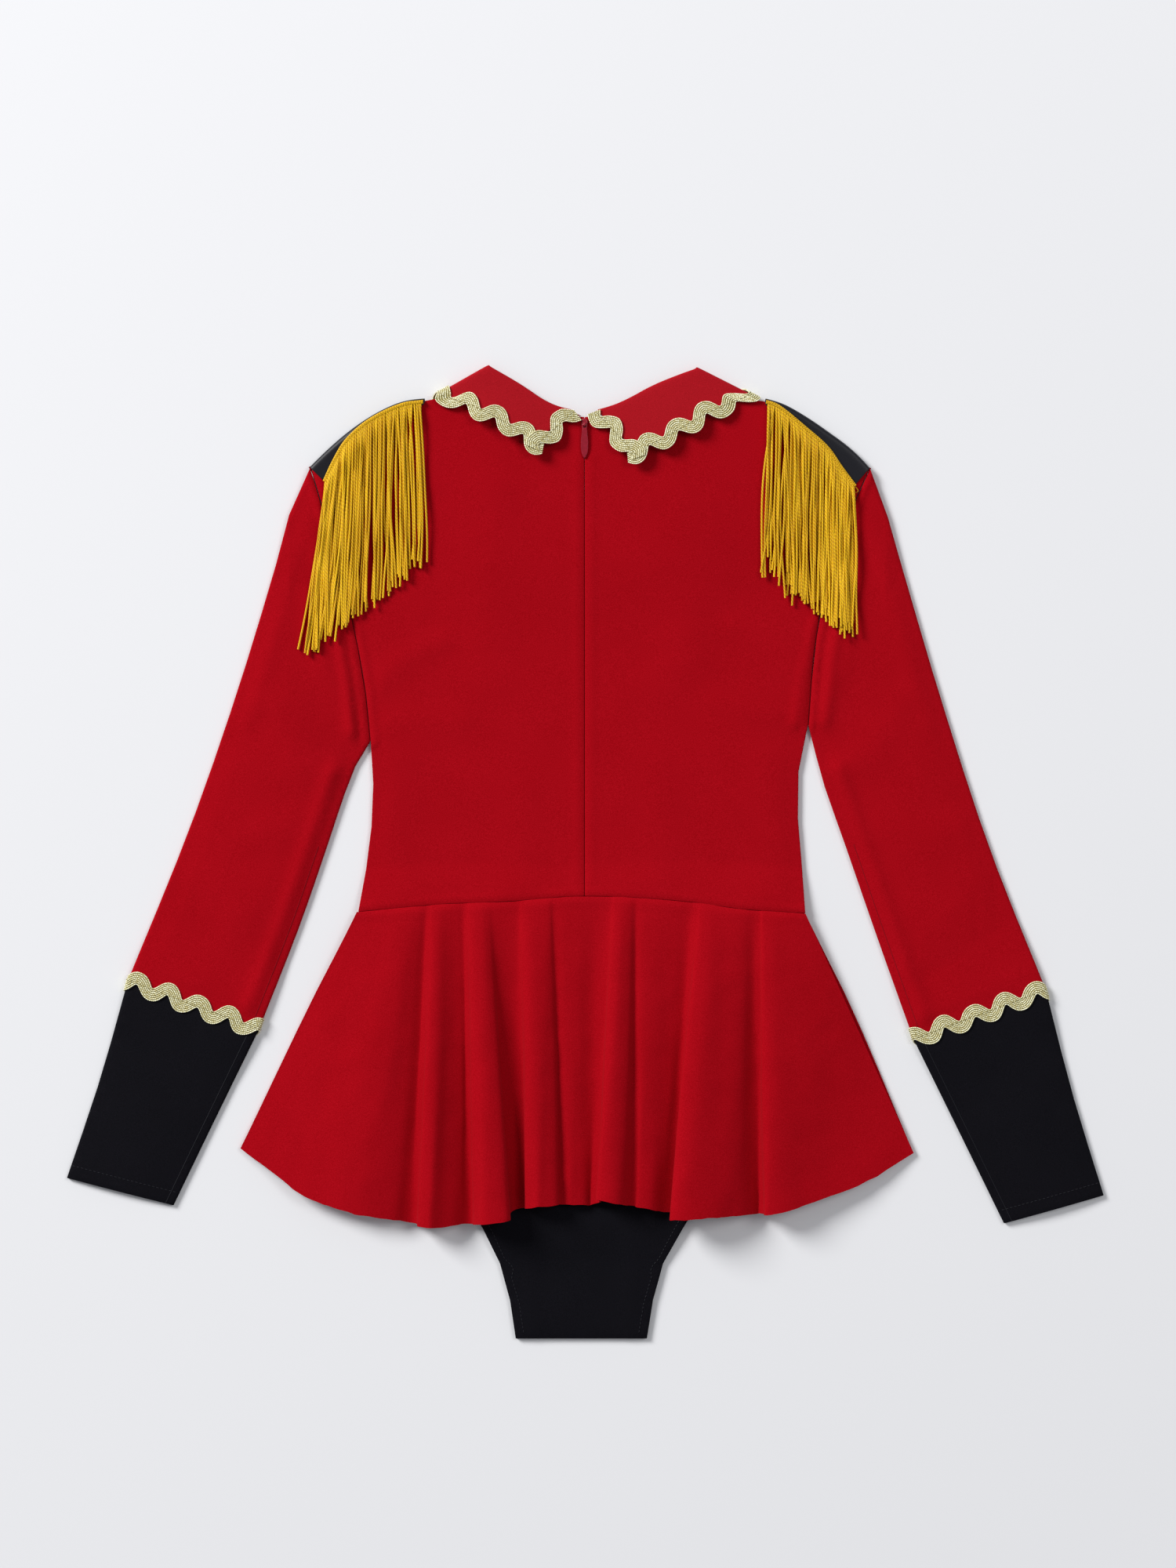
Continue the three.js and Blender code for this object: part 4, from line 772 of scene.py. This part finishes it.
def peplum_grid():
    rows = []
    for i in range(PEPLUM_ROWS + 1):
        t = (i / PEPLUM_ROWS) ** 1.25
        section = []
        for waist_x, hem_x, hem_y, height in FOLDS:
            top = waist_y(waist_x) - GAP
            section.append((mix(waist_x, hem_x, t), mix(top, hem_y, t), FOLD_LIFT * height * t ** 0.55))
        line = Line(section, PEPLUM_PER_FOLD).points
        for j, point in enumerate(line):
            x, y, z = point
            inside = smooth(0, 3, j) * smooth(0, 3, len(line) - 1 - j)
            sway = inside * t * (1.4 * math.sin(5.1 * t + 0.55 * j) + 0.9 * swell(x, y, 24, 5))
            ripple = inside * smooth(0.0, 0.25, t) * 0.45 * (0.5 + swell(x, y, 13, 9))
            hem = inside * 0.8 * swell(x, 0, 7, 2) * smooth(0.85, 1, t)
            section_z = max(0.0, z) + peplum_base(x, y) + ripple + seam_roll(PEPLUM_DEPTH * t, 0.5)
            line[j] = (x + sway * 0.6, y + hem, section_z)
        rows.append(line)
    return rows


peplum_back = new_object("peplum_folds", wall_mesh("peplum_folds", peplum_grid(), CLOTH), red_knit)
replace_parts(peplum_back, "peplum_back")
lay(peplum_back)

# %% [markdown]
# ## Collar and shoulder straps
# The collar stands up from the neck seam, turns over and falls back on the shoulder, with its
# tips a few millimetres off the cloth. The strap is a folded band of satin over the shoulder
# seam. Both are bends in thin cloth, which a subdivision surface rounds well.

# %% Collar leaves and straps
ROUNDING = 3
FOLD_HOLD = 0.75


def rounded_copy(node, name, material):
    mesh = solid_copy(node, name)
    with editing(mesh) as shape:
        bmesh.ops.join_triangles(shape, faces=shape.faces, angle_face_threshold=SHARP,
                                 angle_shape_threshold=math.radians(70), cmp_seam=False, cmp_sharp=False,
                                 cmp_uvs=False, cmp_vcols=False, cmp_materials=False)
    piece = bpy.data.objects.new(name, mesh)
    scene.collection.objects.link(piece)
    with editing(mesh) as shape:
        held = [FOLD_HOLD if edge.calc_face_angle(0) > SHARP else 0.0 for edge in shape.edges]
    mesh.attributes.new("crease_edge", "FLOAT", "EDGE").data.foreach_set("value", held)
    rounder = piece.modifiers.new("rounder", "SUBSURF")
    rounder.levels = rounder.render_levels = ROUNDING
    smoothed = bpy.data.meshes.new_from_object(piece.evaluated_get(bpy.context.evaluated_depsgraph_get()))
    bpy.data.objects.remove(piece)
    made = new_object(name, finish_mesh(smoothed, 50), material)
    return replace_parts(made, node)


collars = {side: rounded_copy(f"collar_{side}", f"collar_leaf_{side}", red_collar_painted_sheen) for side in SIDES}
straps = {side: rounded_copy(f"strap_{side}", f"satin_strap_{side}", black_satin) for side in SIDES}
print("leaves and straps", [len(piece.data.polygons) for piece in (*collars.values(), *straps.values())], "faces")

# %% [markdown]
# ## A tree for yarn
# Fringe strands and the threads of the ric-rac are the same thing at two sizes: a round yarn
# that follows a line. One Geometry Nodes tree does both. It steps evenly along each line, sweeps
# a circle, and stores what the material needs to wind its plies round the yarn: how far along a
# point lies, the cosine and sine of how far round, and the number of its thread.

# %% Geometry Nodes: yarn along lines
def new_tree(name, inputs):
    tree = bpy.data.node_groups.new(name, "GeometryNodeTree")
    tree.interface.new_socket("Geometry", in_out="INPUT", socket_type="NodeSocketGeometry")
    for label, kind, value in inputs:
        socket = tree.interface.new_socket(label, in_out="INPUT", socket_type="NodeSocket" + kind)
        if value is not None:
            socket.default_value = value
    tree.interface.new_socket("Geometry", in_out="OUTPUT", socket_type="NodeSocketGeometry")
    return tree, tree.nodes.new("NodeGroupInput").outputs


def end_tree(tree, geometry, material):
    """Each tree ends alike: its instances are made real, and get their material."""
    real = add_node(tree, "GeometryNodeRealizeInstances", {"Geometry": geometry})
    coat = add_node(tree, "GeometryNodeSetMaterial", {"Geometry": real.outputs["Geometry"], "Material": material})
    add_node(tree, "NodeGroupOutput", {"Geometry": coat.outputs["Geometry"]})
    return tree


def store(tree, geometry, name, value):
    return add_node(tree, "GeometryNodeStoreNamedAttribute", {"Geometry": geometry, "Name": name, "Value": value},
                    data_type="FLOAT", domain="POINT").outputs["Geometry"]


def yarn_tree():
    tree, given = new_tree("yarn_along_lines", [
        ("Yarn Radius", "Float", 1 * MM),
        ("Sides", "Int", 8),
        ("Step", "Float", 1.5 * MM),
        ("Plies", "Int", 2),
        ("Yarn", "Material", None),
    ])
    even = add_node(tree, "GeometryNodeResampleCurve", {"Curve": given["Geometry"], "Length": given["Step"]},
                    mode="LENGTH")
    along = add_node(tree, "GeometryNodeSplineParameter").outputs["Length"]
    which = add_node(tree, "GeometryNodeCurveOfPoint").outputs["Curve Index"]
    line = store(tree, store(tree, even.outputs["Curve"], "along", along), "thread", which)
    circle = add_node(tree, "GeometryNodeCurvePrimitiveCircle", {
        "Resolution": given["Sides"], "Radius": given["Yarn Radius"]}, mode="RADIUS")
    around = add_node(tree, "GeometryNodeSplineParameter").outputs["Factor"]
    angle = math_node(tree, "MULTIPLY", math_node(tree, "MULTIPLY", around, given["Plies"]), 2 * math.pi)
    profile = store(tree, circle.outputs["Curve"], "around_cos", math_node(tree, "COSINE", angle))
    profile = store(tree, profile, "around_sin", math_node(tree, "SINE", angle))
    sweep = add_node(tree, "GeometryNodeCurveToMesh", {
        "Curve": line, "Profile Curve": profile, "Fill Caps": True})
    soft = add_node(tree, "GeometryNodeSetShadeSmooth", {"Geometry": sweep.outputs["Mesh"]})
    return end_tree(tree, soft.outputs["Geometry"], given["Yarn"])


def lines_object(name, lines):
    """A curve object with one straight-stepped spline for each list of points, in millimetres."""
    data = bpy.data.curves.new(name, "CURVE")
    data.dimensions = "3D"
    for points in lines:
        spline = data.splines.new("POLY")
        spline.points.add(len(points) - 1)
        for knot, point in zip(spline.points, points):
            knot.co = (point[0] * MM, point[1] * MM, point[2] * MM, 1)
    holder = bpy.data.objects.new(name + "_lines", data)
    scene.collection.objects.link(holder)
    return holder


def grow(tree, name, lines, slot, values):
    """Runs a tree over lines and keeps the result as a plain mesh that rides on the garment."""
    holder = lines_object(name, lines)
    grower = holder.modifiers.new(name, "NODES")
    grower.node_group = tree
    sockets = {item.name: item.identifier for item in tree.interface.items_tree if item.in_out == "INPUT"}
    for label, value in values.items():
        grower[sockets[label]] = value
    mesh = bpy.data.meshes.new_from_object(holder.evaluated_get(bpy.context.evaluated_depsgraph_get()))
    mesh.name = name
    bpy.data.objects.remove(holder)
    piece = bpy.data.objects.new(name, mesh)
    scene.collection.objects.link(piece)
    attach(piece, "garment")
    print(f"{name}: {len(lines)} lines, {len(mesh.polygons)} faces")
    return piece


def spin(name, lines, material, slot, radius, sides, step, plies=2):
    """Yarn along lines; its radius and step are in millimetres."""
    return grow(yarn, name, lines, slot, {"Yarn Radius": radius * MM, "Sides": sides, "Step": step * MM,
                                          "Plies": plies, "Yarn": material})


yarn = yarn_tree()

# %% [markdown]
# ## Where a strand lies
# Loose strands rest on whatever is under them: satin, sleeve or back. Rather than work that out,
# a ray is dropped on the finished cloth from above, and the strand is laid on the point it hits.

# %% Finding the cloth by ray
def ray_tree(*pieces):
    points, faces = [], []
    for piece in pieces:
        start = len(points)
        points.extend(vertex.co.copy() for vertex in piece.data.vertices)
        faces.extend([start + k for k in polygon.vertices] for polygon in piece.data.polygons)
    return BVHTree.FromPolygons(points, faces)


def top_of(tree, x, y, otherwise=0.0):
    hit = tree.ray_cast(Vector((x * MM, y * MM, 0.2)), Vector((0, 0, -1)))[0]
    return hit.z / MM if hit else otherwise


# %% [markdown]
# ## Fringe
# The fringe is chainette: knitted cords, about one and a half millimetres thick, sewn side by side
# into a narrow heading along the back edge of the strap. They hang in two layers. Those near the neck
# hang straight, and those at the shoulder tip swing out. Each has its own small drift and its
# own length, so that the ends are ragged, as cut fringe is.

# %% Fringe strands
STRAP = {
    "left": {
        "edge": [(-106.5, 301.2), (-119.6, 300.2), (-142.8, 289.4), (-160, 277.2), (-172, 266.7), (-183.1, 255.6)],
        "root": [(-107.4, 298.3), (-121, 296.4), (-143.5, 285.6), (-158.3, 272.6), (-165.8, 260.5), (-172.8, 245.6)],
    },
    "right": {
        "edge": [(119.6, 301.2), (127.5, 299.8), (151.6, 286), (164.5, 276.8), (177.5, 267.4), (189.2, 254.9)],
        "root": [(119.8, 298.3), (126.8, 295.8), (146, 280.6), (160.5, 267.6), (169.4, 255), (178.6, 242.6)],
    },
}
FRINGE = {
    "left": {"lengths": [105, 122, 128, 123, 118], "lean": (4.5, -13.5)},
    "right": {"lengths": [108, 118, 114, 112, 96], "lean": (-3, 0.5)},
}
STRANDS = 46
STRAND_RADIUS = 0.7
HEADING_LEVEL = 3.85
FALL = 14
FALL_STEPS = 30


def eased(values, reach, rule):
    """Each value replaced by a rule over its neighbours as far as reach on both sides."""
    return [rule(values[max(0, i - reach):i + reach + 1]) for i in range(len(values))]


def strand_lines(side, ground):
    chance = random.Random(17 if side == "left" else 29)
    root = Line(STRAP[side]["root"])
    lengths = FRINGE[side]["lengths"]
    start_lean, end_lean = FRINGE[side]["lean"]
    lines = []
    for layer in (0, 1):
        for k in range(STRANDS):
            u = min(0.995, max(0.005, (k + 0.3 + 0.4 * layer + chance.uniform(-0.18, 0.18)) / STRANDS))
            x0, y0 = root.at(mix(0.012, 0.988, u) * root.length)
            length = float(np.interp(u * 4, range(5), lengths)) + chance.gauss(0, 3.2) - 2.5 * (1 - layer)
            lean = mix(start_lean, end_lean, u) + chance.gauss(0, 2.0)
            bow, phase, sway = chance.gauss(0, 1.6), chance.uniform(0, 6.3), chance.uniform(0.2, 0.8)
            lift = chance.uniform(0.1, 1.5)
            root_z = lower_z(x0, y0) + LAYER / 2 + HEADING_LEVEL
            ts = [i / FALL_STEPS for i in range(FALL_STEPS + 1)]
            xs = [x0 + lean * t ** 1.15 + bow * math.sin(math.pi * t) + sway * math.sin(9 * t + phase) * t for t in ts]
            ys = [y0 - length * t for t in ts]
            tops = [max(top_of(ground, x + aside, y) for aside in (-1, 0, 1)) for x, y in zip(xs, ys)]
            tops = eased(eased(tops, 2, max), 2, lambda near: sum(near) / len(near))
            points = []
            for t, x, y, top in zip(ts, xs, ys, tops):
                lying = top + 0.3 + STRAND_RADIUS * (1 + 1.6 * layer) + lift * math.sin(6 * t + phase) ** 2
                points.append((x, y, mix(root_z, lying, smooth(0, FALL, length * t))))
            lines.append(points)
    return lines


cloth_under = ray_tree(*backs, *sleeves.values(), *straps.values())
fringes = {}
for side in SIDES:
    fringes[side] = spin(f"gold_fringe_{side}", strand_lines(side, cloth_under), gold_fringe, "gold_fringe",
                         STRAND_RADIUS, 7, 1.6)
    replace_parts(fringes[side], f"fringe_{side}")

# %% [markdown]
# ## Heading of the fringe
# The strands start in a narrow woven heading. It is a thin band that follows the root line, with
# a dense zigzag of gold sewing thread over it, which is how such trim is held on satin.

# %% Fringe heading
def heading_grid(side):
    root = Line(STRAP[side]["root"])
    hand = SIDES[side]
    rows = []
    for i in range(41):
        distance = root.length * i / 40
        tangent = root.heading(distance)
        out = np.array([-tangent[1], tangent[0]]) * hand
        row = []
        for offset in (-1.2, 0, 1.2):
            x, y = root.at(distance) + out * offset
            row.append((x, y, lower_z(x, y) + LAYER / 2 + HEADING_LEVEL + 0.25 * (offset == 0)))
        rows.append(row)
    return rows


def zigzag(grid, turns):
    line = []
    for k in range(turns + 1):
        place = (len(grid) - 1) * k / turns
        i = min(len(grid) - 2, int(place))
        column = 0 if k % 2 else -1
        point = mix(np.array(grid[i][column]), np.array(grid[i + 1][column]), place - i)
        line.append((point[0], point[1], point[2] + 0.75))
    return line


strap_trim = {}
for side in SIDES:
    grid = heading_grid(side)
    heading = new_object(f"fringe_heading_{side}", wall_mesh(f"fringe_heading_{side}", grid, 1.2), gold_fringe)
    thread = spin(f"heading_thread_{side}", [zigzag(grid, 110)], gold_fringe, "gold_fringe", 0.3, 6, 0.8)
    strap_trim[side] = [fringes[side], heading, thread]

# %% [markdown]
# ## Ric-rac
# Ric-rac is a flat braid whose threads run along it in waves. A thin wavy ribbon is its body,
# and seven metallic threads lie side by side on it, each one a yarn along a line that keeps its
# distance from the middle. The ribbon is dark, a painted shade in the gaps between the threads.
# On the collar it follows the outer edge of each leaf, turns under at the side of the neck and
# goes on below, and a short second length runs up the centre back.

# %% Ric-rac paths
BRAID_WIDTH = 8.6
BRAID_WAVE = 21.5
BRAID_SWING = 3.9
BRAID_LEVEL = 1.5 * LAYER + CLOTH / 2 + GAP + 0.45
FALL_LOFT = 3.2
OVERRUN = 4.5
COLLAR = {
    "left": {
        "lean": (-0.6, 0.8),
        "fold": [(-7.5, 292.3), (-22, 296), (-43, 309.3), (-63.3, 320.9)],
        "edge": [(-31.5, 270.5), (-50.2, 282.9), (-72, 294.5), (-95.3, 302.7)],
        "front": [(-95.3, 302.7), (-88, 268), (-62, 235), (-24.2, 217.9)],
    },
    "right": {
        "lean": (0.6, 0.8),
        "fold": [(6.5, 292.3), (19.5, 295.6), (46, 309.2), (72.9, 319.6)],
        "edge": [(32, 264.5), (55.6, 276.4), (82, 291.5), (107.3, 302.2)],
        "front": [(107.3, 302.2), (92, 268), (63, 235), (24, 217.9)],
    },
}


def unit(vector):
    return np.array(vector, float) / np.linalg.norm(vector)


def fall_loft(w, t):
    return FALL_LOFT * w * (1 - smooth(0.55, 1, t))


def middle_z(point):
    return lower_z(point[0], point[1]) + LAYER / 2


def outer_place(side):
    """The rule for the long braid of a collar: the point at a along it, b across, c above."""
    row, hand = COLLAR[side], SIDES[side]
    upper, front, fold = Line(row["edge"]), Line(row["front"]), Line(row["fold"])
    out = unit(row["lean"])
    sideways = unit(upper.at(upper.length) - fold.at(fold.length))
    turn = math.pi * BRAID_LEVEL
    turn_end = upper.length + turn

    def across(line, distance, sign, to_turn):
        tangent = line.heading(distance)
        return unit(mix(np.array([sign * tangent[1], -sign * tangent[0]]), sideways, to_turn))

    def place(a, b, c=0.0):
        if a <= upper.length:
            t = max(0.0, a) / upper.length
            point = upper.at(max(0.0, a)) + upper.heading(max(0.0, a)) * min(0.0, a)
            width = np.linalg.norm(point - fold.at(t * fold.length))
            point = point + across(upper, max(0.0, a), hand, smooth(0.7, 1, t)) * b
            return (*point, middle_z(point) + BRAID_LEVEL + c + fall_loft(1 + b / width, t))
        if a < turn_end:
            angle = (a - upper.length) / BRAID_LEVEL
            point = upper.at(upper.length) + sideways * b
            z = middle_z(point) + (BRAID_LEVEL + c) * math.cos(angle)
            return (*(point + out * (BRAID_LEVEL + c) * math.sin(angle)), z)
        along = min(front.length, a - turn_end)
        to_turn = 1 - smooth(0, 0.25, along / front.length)
        point = front.at(along) + across(front, along, -hand, to_turn) * b
        return (*point, middle_z(point) - BRAID_LEVEL - c)

    return place, -OVERRUN, turn_end + front.length, 0.0


def centre_place(side):
    """The rule for the short braid up the centre back edge of a collar."""
    row, hand = COLLAR[side], SIDES[side]
    tip, top = np.array(row["edge"][0], float), np.array(row["fold"][0], float)
    length = float(np.linalg.norm(top - tip))
    along = unit(top - tip)
    across = np.array([along[1], -along[0]]) * hand

    def place(a, b, c=0.0):
        point = tip + along * a - across * b
        over = 0.7 * (1 - smooth(5, 15, a))
        return (*point, middle_z(point) + BRAID_LEVEL + c + over + fall_loft(1 - a / length, 0))

    return place, -OVERRUN, length, math.pi


# %% Cuff ring path
FOLD_RADIUS = LAYER / 2
EDGE_INSET = FOLD_RADIUS + CLOTH / 2
RING_RADIUS = FOLD_RADIUS + CLOTH / 2 + GAP + 0.45


def ring_place(side):
    """The rule for the braid round a cuff seam: a round the flattened tube, b down the arm."""
    lines = {part: {edge: Line(points) for edge, points in edges.items()} for part, edges in ARM_EDGES[side].items()}

    def edge_at(edge, distance):
        sleeve, cuff = lines["sleeve"][edge], lines["cuff"][edge]
        return sleeve.at(sleeve.length + distance) if distance < 0 else cuff.at(distance)

    seam_width = float(np.linalg.norm(edge_at("outer", 0) - edge_at("inner", 0))) - 2 * EDGE_INSET
    round_length = 2 * seam_width + 2 * math.pi * RING_RADIUS

    def place(a, b, c=0.0):
        inner, outer = edge_at("inner", b), edge_at("outer", b)
        across = unit(outer - inner)
        inner, outer = inner + across * EDGE_INSET, outer - across * EDGE_INSET
        radius = RING_RADIUS + c
        bend = math.pi * RING_RADIUS
        a = a % round_length
        if a < seam_width:
            point = mix(inner, outer, a / seam_width)
            return (*point, lower_z(*point) + FOLD_RADIUS - radius)
        if a < seam_width + bend:
            angle = (a - seam_width) / RING_RADIUS
            point = outer + across * radius * math.sin(angle)
            return (*point, lower_z(*outer) + FOLD_RADIUS - radius * math.cos(angle))
        if a < 2 * seam_width + bend:
            point = mix(outer, inner, (a - seam_width - bend) / seam_width)
            return (*point, lower_z(*point) + FOLD_RADIUS + radius)
        angle = (a - 2 * seam_width - bend) / RING_RADIUS
        point = inner - across * radius * math.sin(angle)
        return (*point, lower_z(*inner) + FOLD_RADIUS + radius * math.cos(angle))

    return place, 0.0, round_length, 0.0


# %% Ric-rac ribbons and threads
THREADS = 7
THREAD_RADIUS = 0.44


def braid_rows(rule, offsets, ring, step, rise):
    """Rows of points along a braid, one line for each offset from its middle."""
    place, start, end, phase = rule
    waves = round((end - start) / BRAID_WAVE) if ring else (end - start) / BRAID_WAVE
    steps = int((end - start) / step)
    rows = []
    for i in range(steps + 1):
        a = mix(start, end, i / steps)
        angle = 2 * math.pi * waves * (a - start) / (end - start) + phase
        uneven = 1 + 0.09 * math.sin(10 * math.pi * (a - start) / (end - start)) + 0.05 * math.sin(2 * angle + 1)
        rows.append([place(a - 0.42 * offset * math.cos(angle), BRAID_SWING * uneven * math.sin(angle) + offset, rise)
                     for offset in offsets])
    return rows


def braid_lines(rule, ring=False):
    offsets = np.linspace(-1, 1, THREADS) * (BRAID_WIDTH / 2 - THREAD_RADIUS)
    return [list(line) for line in zip(*braid_rows(rule, offsets, ring, 0.9, 0.05))]


def braid_ribbon(name, rule, ring=False):
    offsets = np.linspace(-1, 1, 5) * (BRAID_WIDTH / 2 - 0.35)
    grid = braid_rows(rule, offsets, ring, 1.3, -0.22)
    if ring:
        grid[-1] = grid[0]
    return wall_mesh(name, grid, 0.45, rounded=False)


def ricrac(name, rules, node, ring=False):
    ribbons = []
    for k, rule in enumerate(rules):
        ribbon = new_object(f"{name}_ribbon_{k + 1}", braid_ribbon(f"{name}_ribbon", rule, ring),
                            braid_ground_painted_shade)
        ribbons.append(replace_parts(ribbon, node))
    lines = [line for rule in rules for line in braid_lines(rule, ring)]
    return ribbons + [spin(f"{name}_threads", lines, gold_braid, "gold_braid", THREAD_RADIUS, 7, 0.9, plies=1)]


collar_trim = {side: ricrac(f"collar_ricrac_{side}", [outer_place(side), centre_place(side)], f"collar_trim_{side}")
               for side in SIDES}
for side in SIDES:
    ricrac(f"cuff_ricrac_{side}", [ring_place(side)], f"cuff_trim_{side}", ring=True)

# %% [markdown]
# ## Trimmed pieces
# The leaves of the collar and the straps are small pieces of cloth too, cut flat and then sewn.
# Each is passed to lay together with the trim that is sewn on it.

# %% Collar and strap sheets
for side in SIDES:
    lay(collars[side], collar_trim[side])
    lay(straps[side], strap_trim[side])

# %% [markdown]
# ## Zip slider and pull
# The slider and its drop-shaped pull are cast and lacquered red, so their edges are round. Their
# solids have the right form; fine copies with rounded edges take their place. The pull turns on
# its own body, so it rides on that one.

# %% Zip pieces
for node, body in (("zip_slider", "garment"), ("zip_pull", "pull tab")):
    mesh = fine_copy(node, node + "_lacquered", 2.0, rim=0.22)
    piece = new_object(node + "_lacquered", finish_mesh(mesh, 50), red_zip, body=body)
    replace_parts(piece, node)
    print(piece.name, len(mesh.polygons), "faces")

# %% [markdown]
# ## Seams
# Two panels that are sewn together leave a fine dark line, with the seam allowance turned in
# under it. The panels here stop just short of each other, so a cord of red thread is laid in
# each gap, a little below the surface. It closes the seam, as the real stitching does.

# %% Seam cords
def laid(points, lift, step=3.0):
    line = Line(points, 24)
    count = max(2, int(line.length / step))
    return [(x, y, lift(x, y)) for x, y in (line.at(line.length * i / count) for i in range(count + 1))]


def seam_level(x, y):
    return lower_z(x, y) + LAYER - 0.35


def underarm(side, part):
    shift = 5.2 * SIDES[side]
    return [(x + shift, y + 1.6) for x, y in ARM_EDGES[side][part]["inner"]]


arm_cloth = ray_tree(*sleeves.values(), *cuffs.values())
for side, hand in SIDES.items():
    armhole = [(x + 0.15 * hand, y) for x, y in ARMHOLE[side]] + [STRAP[side]["edge"][-1]]
    spin(f"armhole_seam_{side}", [laid(armhole, seam_level)], red_thread, "red_knit", 0.55, 8, 1.4)
    for part, thread, slot in (("sleeve", red_thread, "red_knit"), ("cuff", black_thread, "black_stretch")):
        seam = laid(underarm(side, part), lambda x, y: top_of(arm_cloth, x, y, lower_z(x, y) + LAYER) - 0.05)
        spin(f"underarm_seam_{part}_{side}", [seam], thread, slot, 0.22, 8, 1.4)
waist_seam = [(x, waist_y(x) - 0.15, lower_z(x, waist_y(x)) + 2 * LAYER + 0.15)
              for x in np.linspace(-150, 145.5, 150)]
spin("waist_seam", [waist_seam], red_thread, "red_knit", 0.5, 8, 1.4)

# %% [markdown]
# ## Stitches
# A row of stitches is one small loop of thread repeated at an even step. The tree puts a short
# rounded bar at each step of a line, turns it along the line, and gives each its own small
# error in angle from a fixed seed, because a machine's stitches are even but not perfect.

# %% Geometry Nodes: stitches along lines
def stitch_tree():
    tree, given = new_tree("stitches_along_lines", [
        ("Stitch Step", "Float", 3 * MM),
        ("Stitch Length", "Float", 2 * MM),
        ("Thread Radius", "Float", 0.3 * MM),
        ("Turn Error", "Float", 0.1),
        ("Seed", "Int", 5),
        ("Thread", "Material", None),
    ])
    points = add_node(tree, "GeometryNodeCurveToPoints", {
        "Curve": given["Geometry"], "Length": given["Stitch Step"]}, mode="LENGTH").outputs
    bar = add_node(tree, "GeometryNodeMeshUVSphere", {"Segments": 8, "Rings": 6, "Radius": given["Thread Radius"]})
    soft = add_node(tree, "GeometryNodeSetShadeSmooth", {"Geometry": bar.outputs["Mesh"]})
    ratio = math_node(tree, "DIVIDE", given["Stitch Length"], math_node(tree, "MULTIPLY", given["Thread Radius"], 2))
    stretch = add_node(tree, "ShaderNodeCombineXYZ", {0: 1.0, 1: 1.0, 2: ratio}).outputs[0]
    error = add_node(tree, "FunctionNodeRandomValue", {2: -1.0, 3: 1.0, "Seed": given["Seed"]}, data_type="FLOAT")
    turn = math_node(tree, "MULTIPLY", error.outputs[1], given["Turn Error"])
    tilt = add_node(tree, "ShaderNodeCombineXYZ", {1: turn}).outputs[0]
    wobble = add_node(tree, "FunctionNodeEulerToRotation", {0: tilt}).outputs[0]
    turned = add_node(tree, "FunctionNodeRotateRotation", {
        "Rotation": points["Rotation"], "Rotate By": wobble}, rotation_space="LOCAL").outputs[0]
    placed = add_node(tree, "GeometryNodeInstanceOnPoints", {
        "Points": points["Points"], "Instance": soft.outputs["Geometry"], "Rotation": turned, "Scale": stretch})
    return end_tree(tree, placed.outputs["Instances"], given["Thread"])


stitches = stitch_tree()

# %% [markdown]
# ## Where the stitches run
# The legs of the briefs and the cuffs have a turned hem, sewn six to nine millimetres inside
# the edge. The ric-rac is sewn down with one straight row through the middle of its waves. The
# peplum has no row, because its hem is cut raw.

# %% Stitch rows
def sew(name, lines, material, slot, step, length, radius, error, seed):
    """Stitches along lines; their step, length and radius are in millimetres."""
    grow(stitches, name, lines, slot, {
        "Stitch Step": step * MM, "Stitch Length": length * MM, "Thread Radius": radius * MM, "Turn Error": error,
        "Seed": seed, "Thread": material})


def edge_of(piece, levels, hand, inset):
    line = []
    for y in levels:
        near = [v.co.x / MM for v in piece.data.vertices if abs(v.co.y / MM - y) < 3]
        line.append(((max(near) if hand > 0 else min(near)) - hand * inset, y))
    return line


brief_cloth = ray_tree(briefs_back)
for side, hand in SIDES.items():
    hem = edge_of(briefs_back, range(-318, -232, 6), hand, 6.2)
    hem_line = laid(hem, lambda x, y: top_of(brief_cloth, x, y, lower_z(x, y) + 3 * LAYER) + 0.05)
    sew(f"leg_hem_stitches_{side}", [hem_line], black_thread, "black_stretch", 2.6, 1.9, 0.28, 0.15, 7)
    cuff = {edge: np.array(line, float) for edge, line in ARM_EDGES[side]["cuff"].items()}
    outer, inner = cuff["outer"][-1], cuff["inner"][-1]
    up = unit(cuff["outer"][1] - outer) * 9
    row = [tuple(mix(inner, outer, t) + up) for t in (0.03, 0.5, 0.97)]
    hem_line = laid(row, lambda x, y: top_of(arm_cloth, x, y) + 0.05)
    sew(f"cuff_hem_stitches_{side}", [hem_line], black_thread, "black_stretch", 2.8, 2.0, 0.28, 0.15, 11)
    rows = []
    for place, start, end, phase in (outer_place(side), centre_place(side), ring_place(side)):
        count = int((end - start) / 2)
        row = [place(mix(start + 3, end - 3, i / count), 0, 0.5) for i in range(count + 1)]
        rows.append([(x, y, max(z, 0.3)) for x, y, z in row])
    sew(f"ricrac_stitches_{side}", rows, braid_ground_painted_shade, "gold_braid", 3.0, 1.8, 0.25, 0.2, 13)

# %% [markdown]
# ## A loose end
# The heading of the right fringe wasn't cut clean: one end of its sewing thread sticks out at
# the shoulder. It is a single thin yarn in a loose bend.

# %% Loose thread end
start = STRAP["right"]["root"][-1]
rise = lower_z(*start) + LAYER / 2 + HEADING_LEVEL
loose = [(start[0] + 1.5 * i * math.cos(0.35 * i), start[1] - 1.1 * i - 0.6 * math.sin(0.9 * i),
          rise - 0.28 * i) for i in range(8)]
spin("loose_thread_end", [loose], gold_fringe, "gold_fringe", 0.22, 6, 0.8)
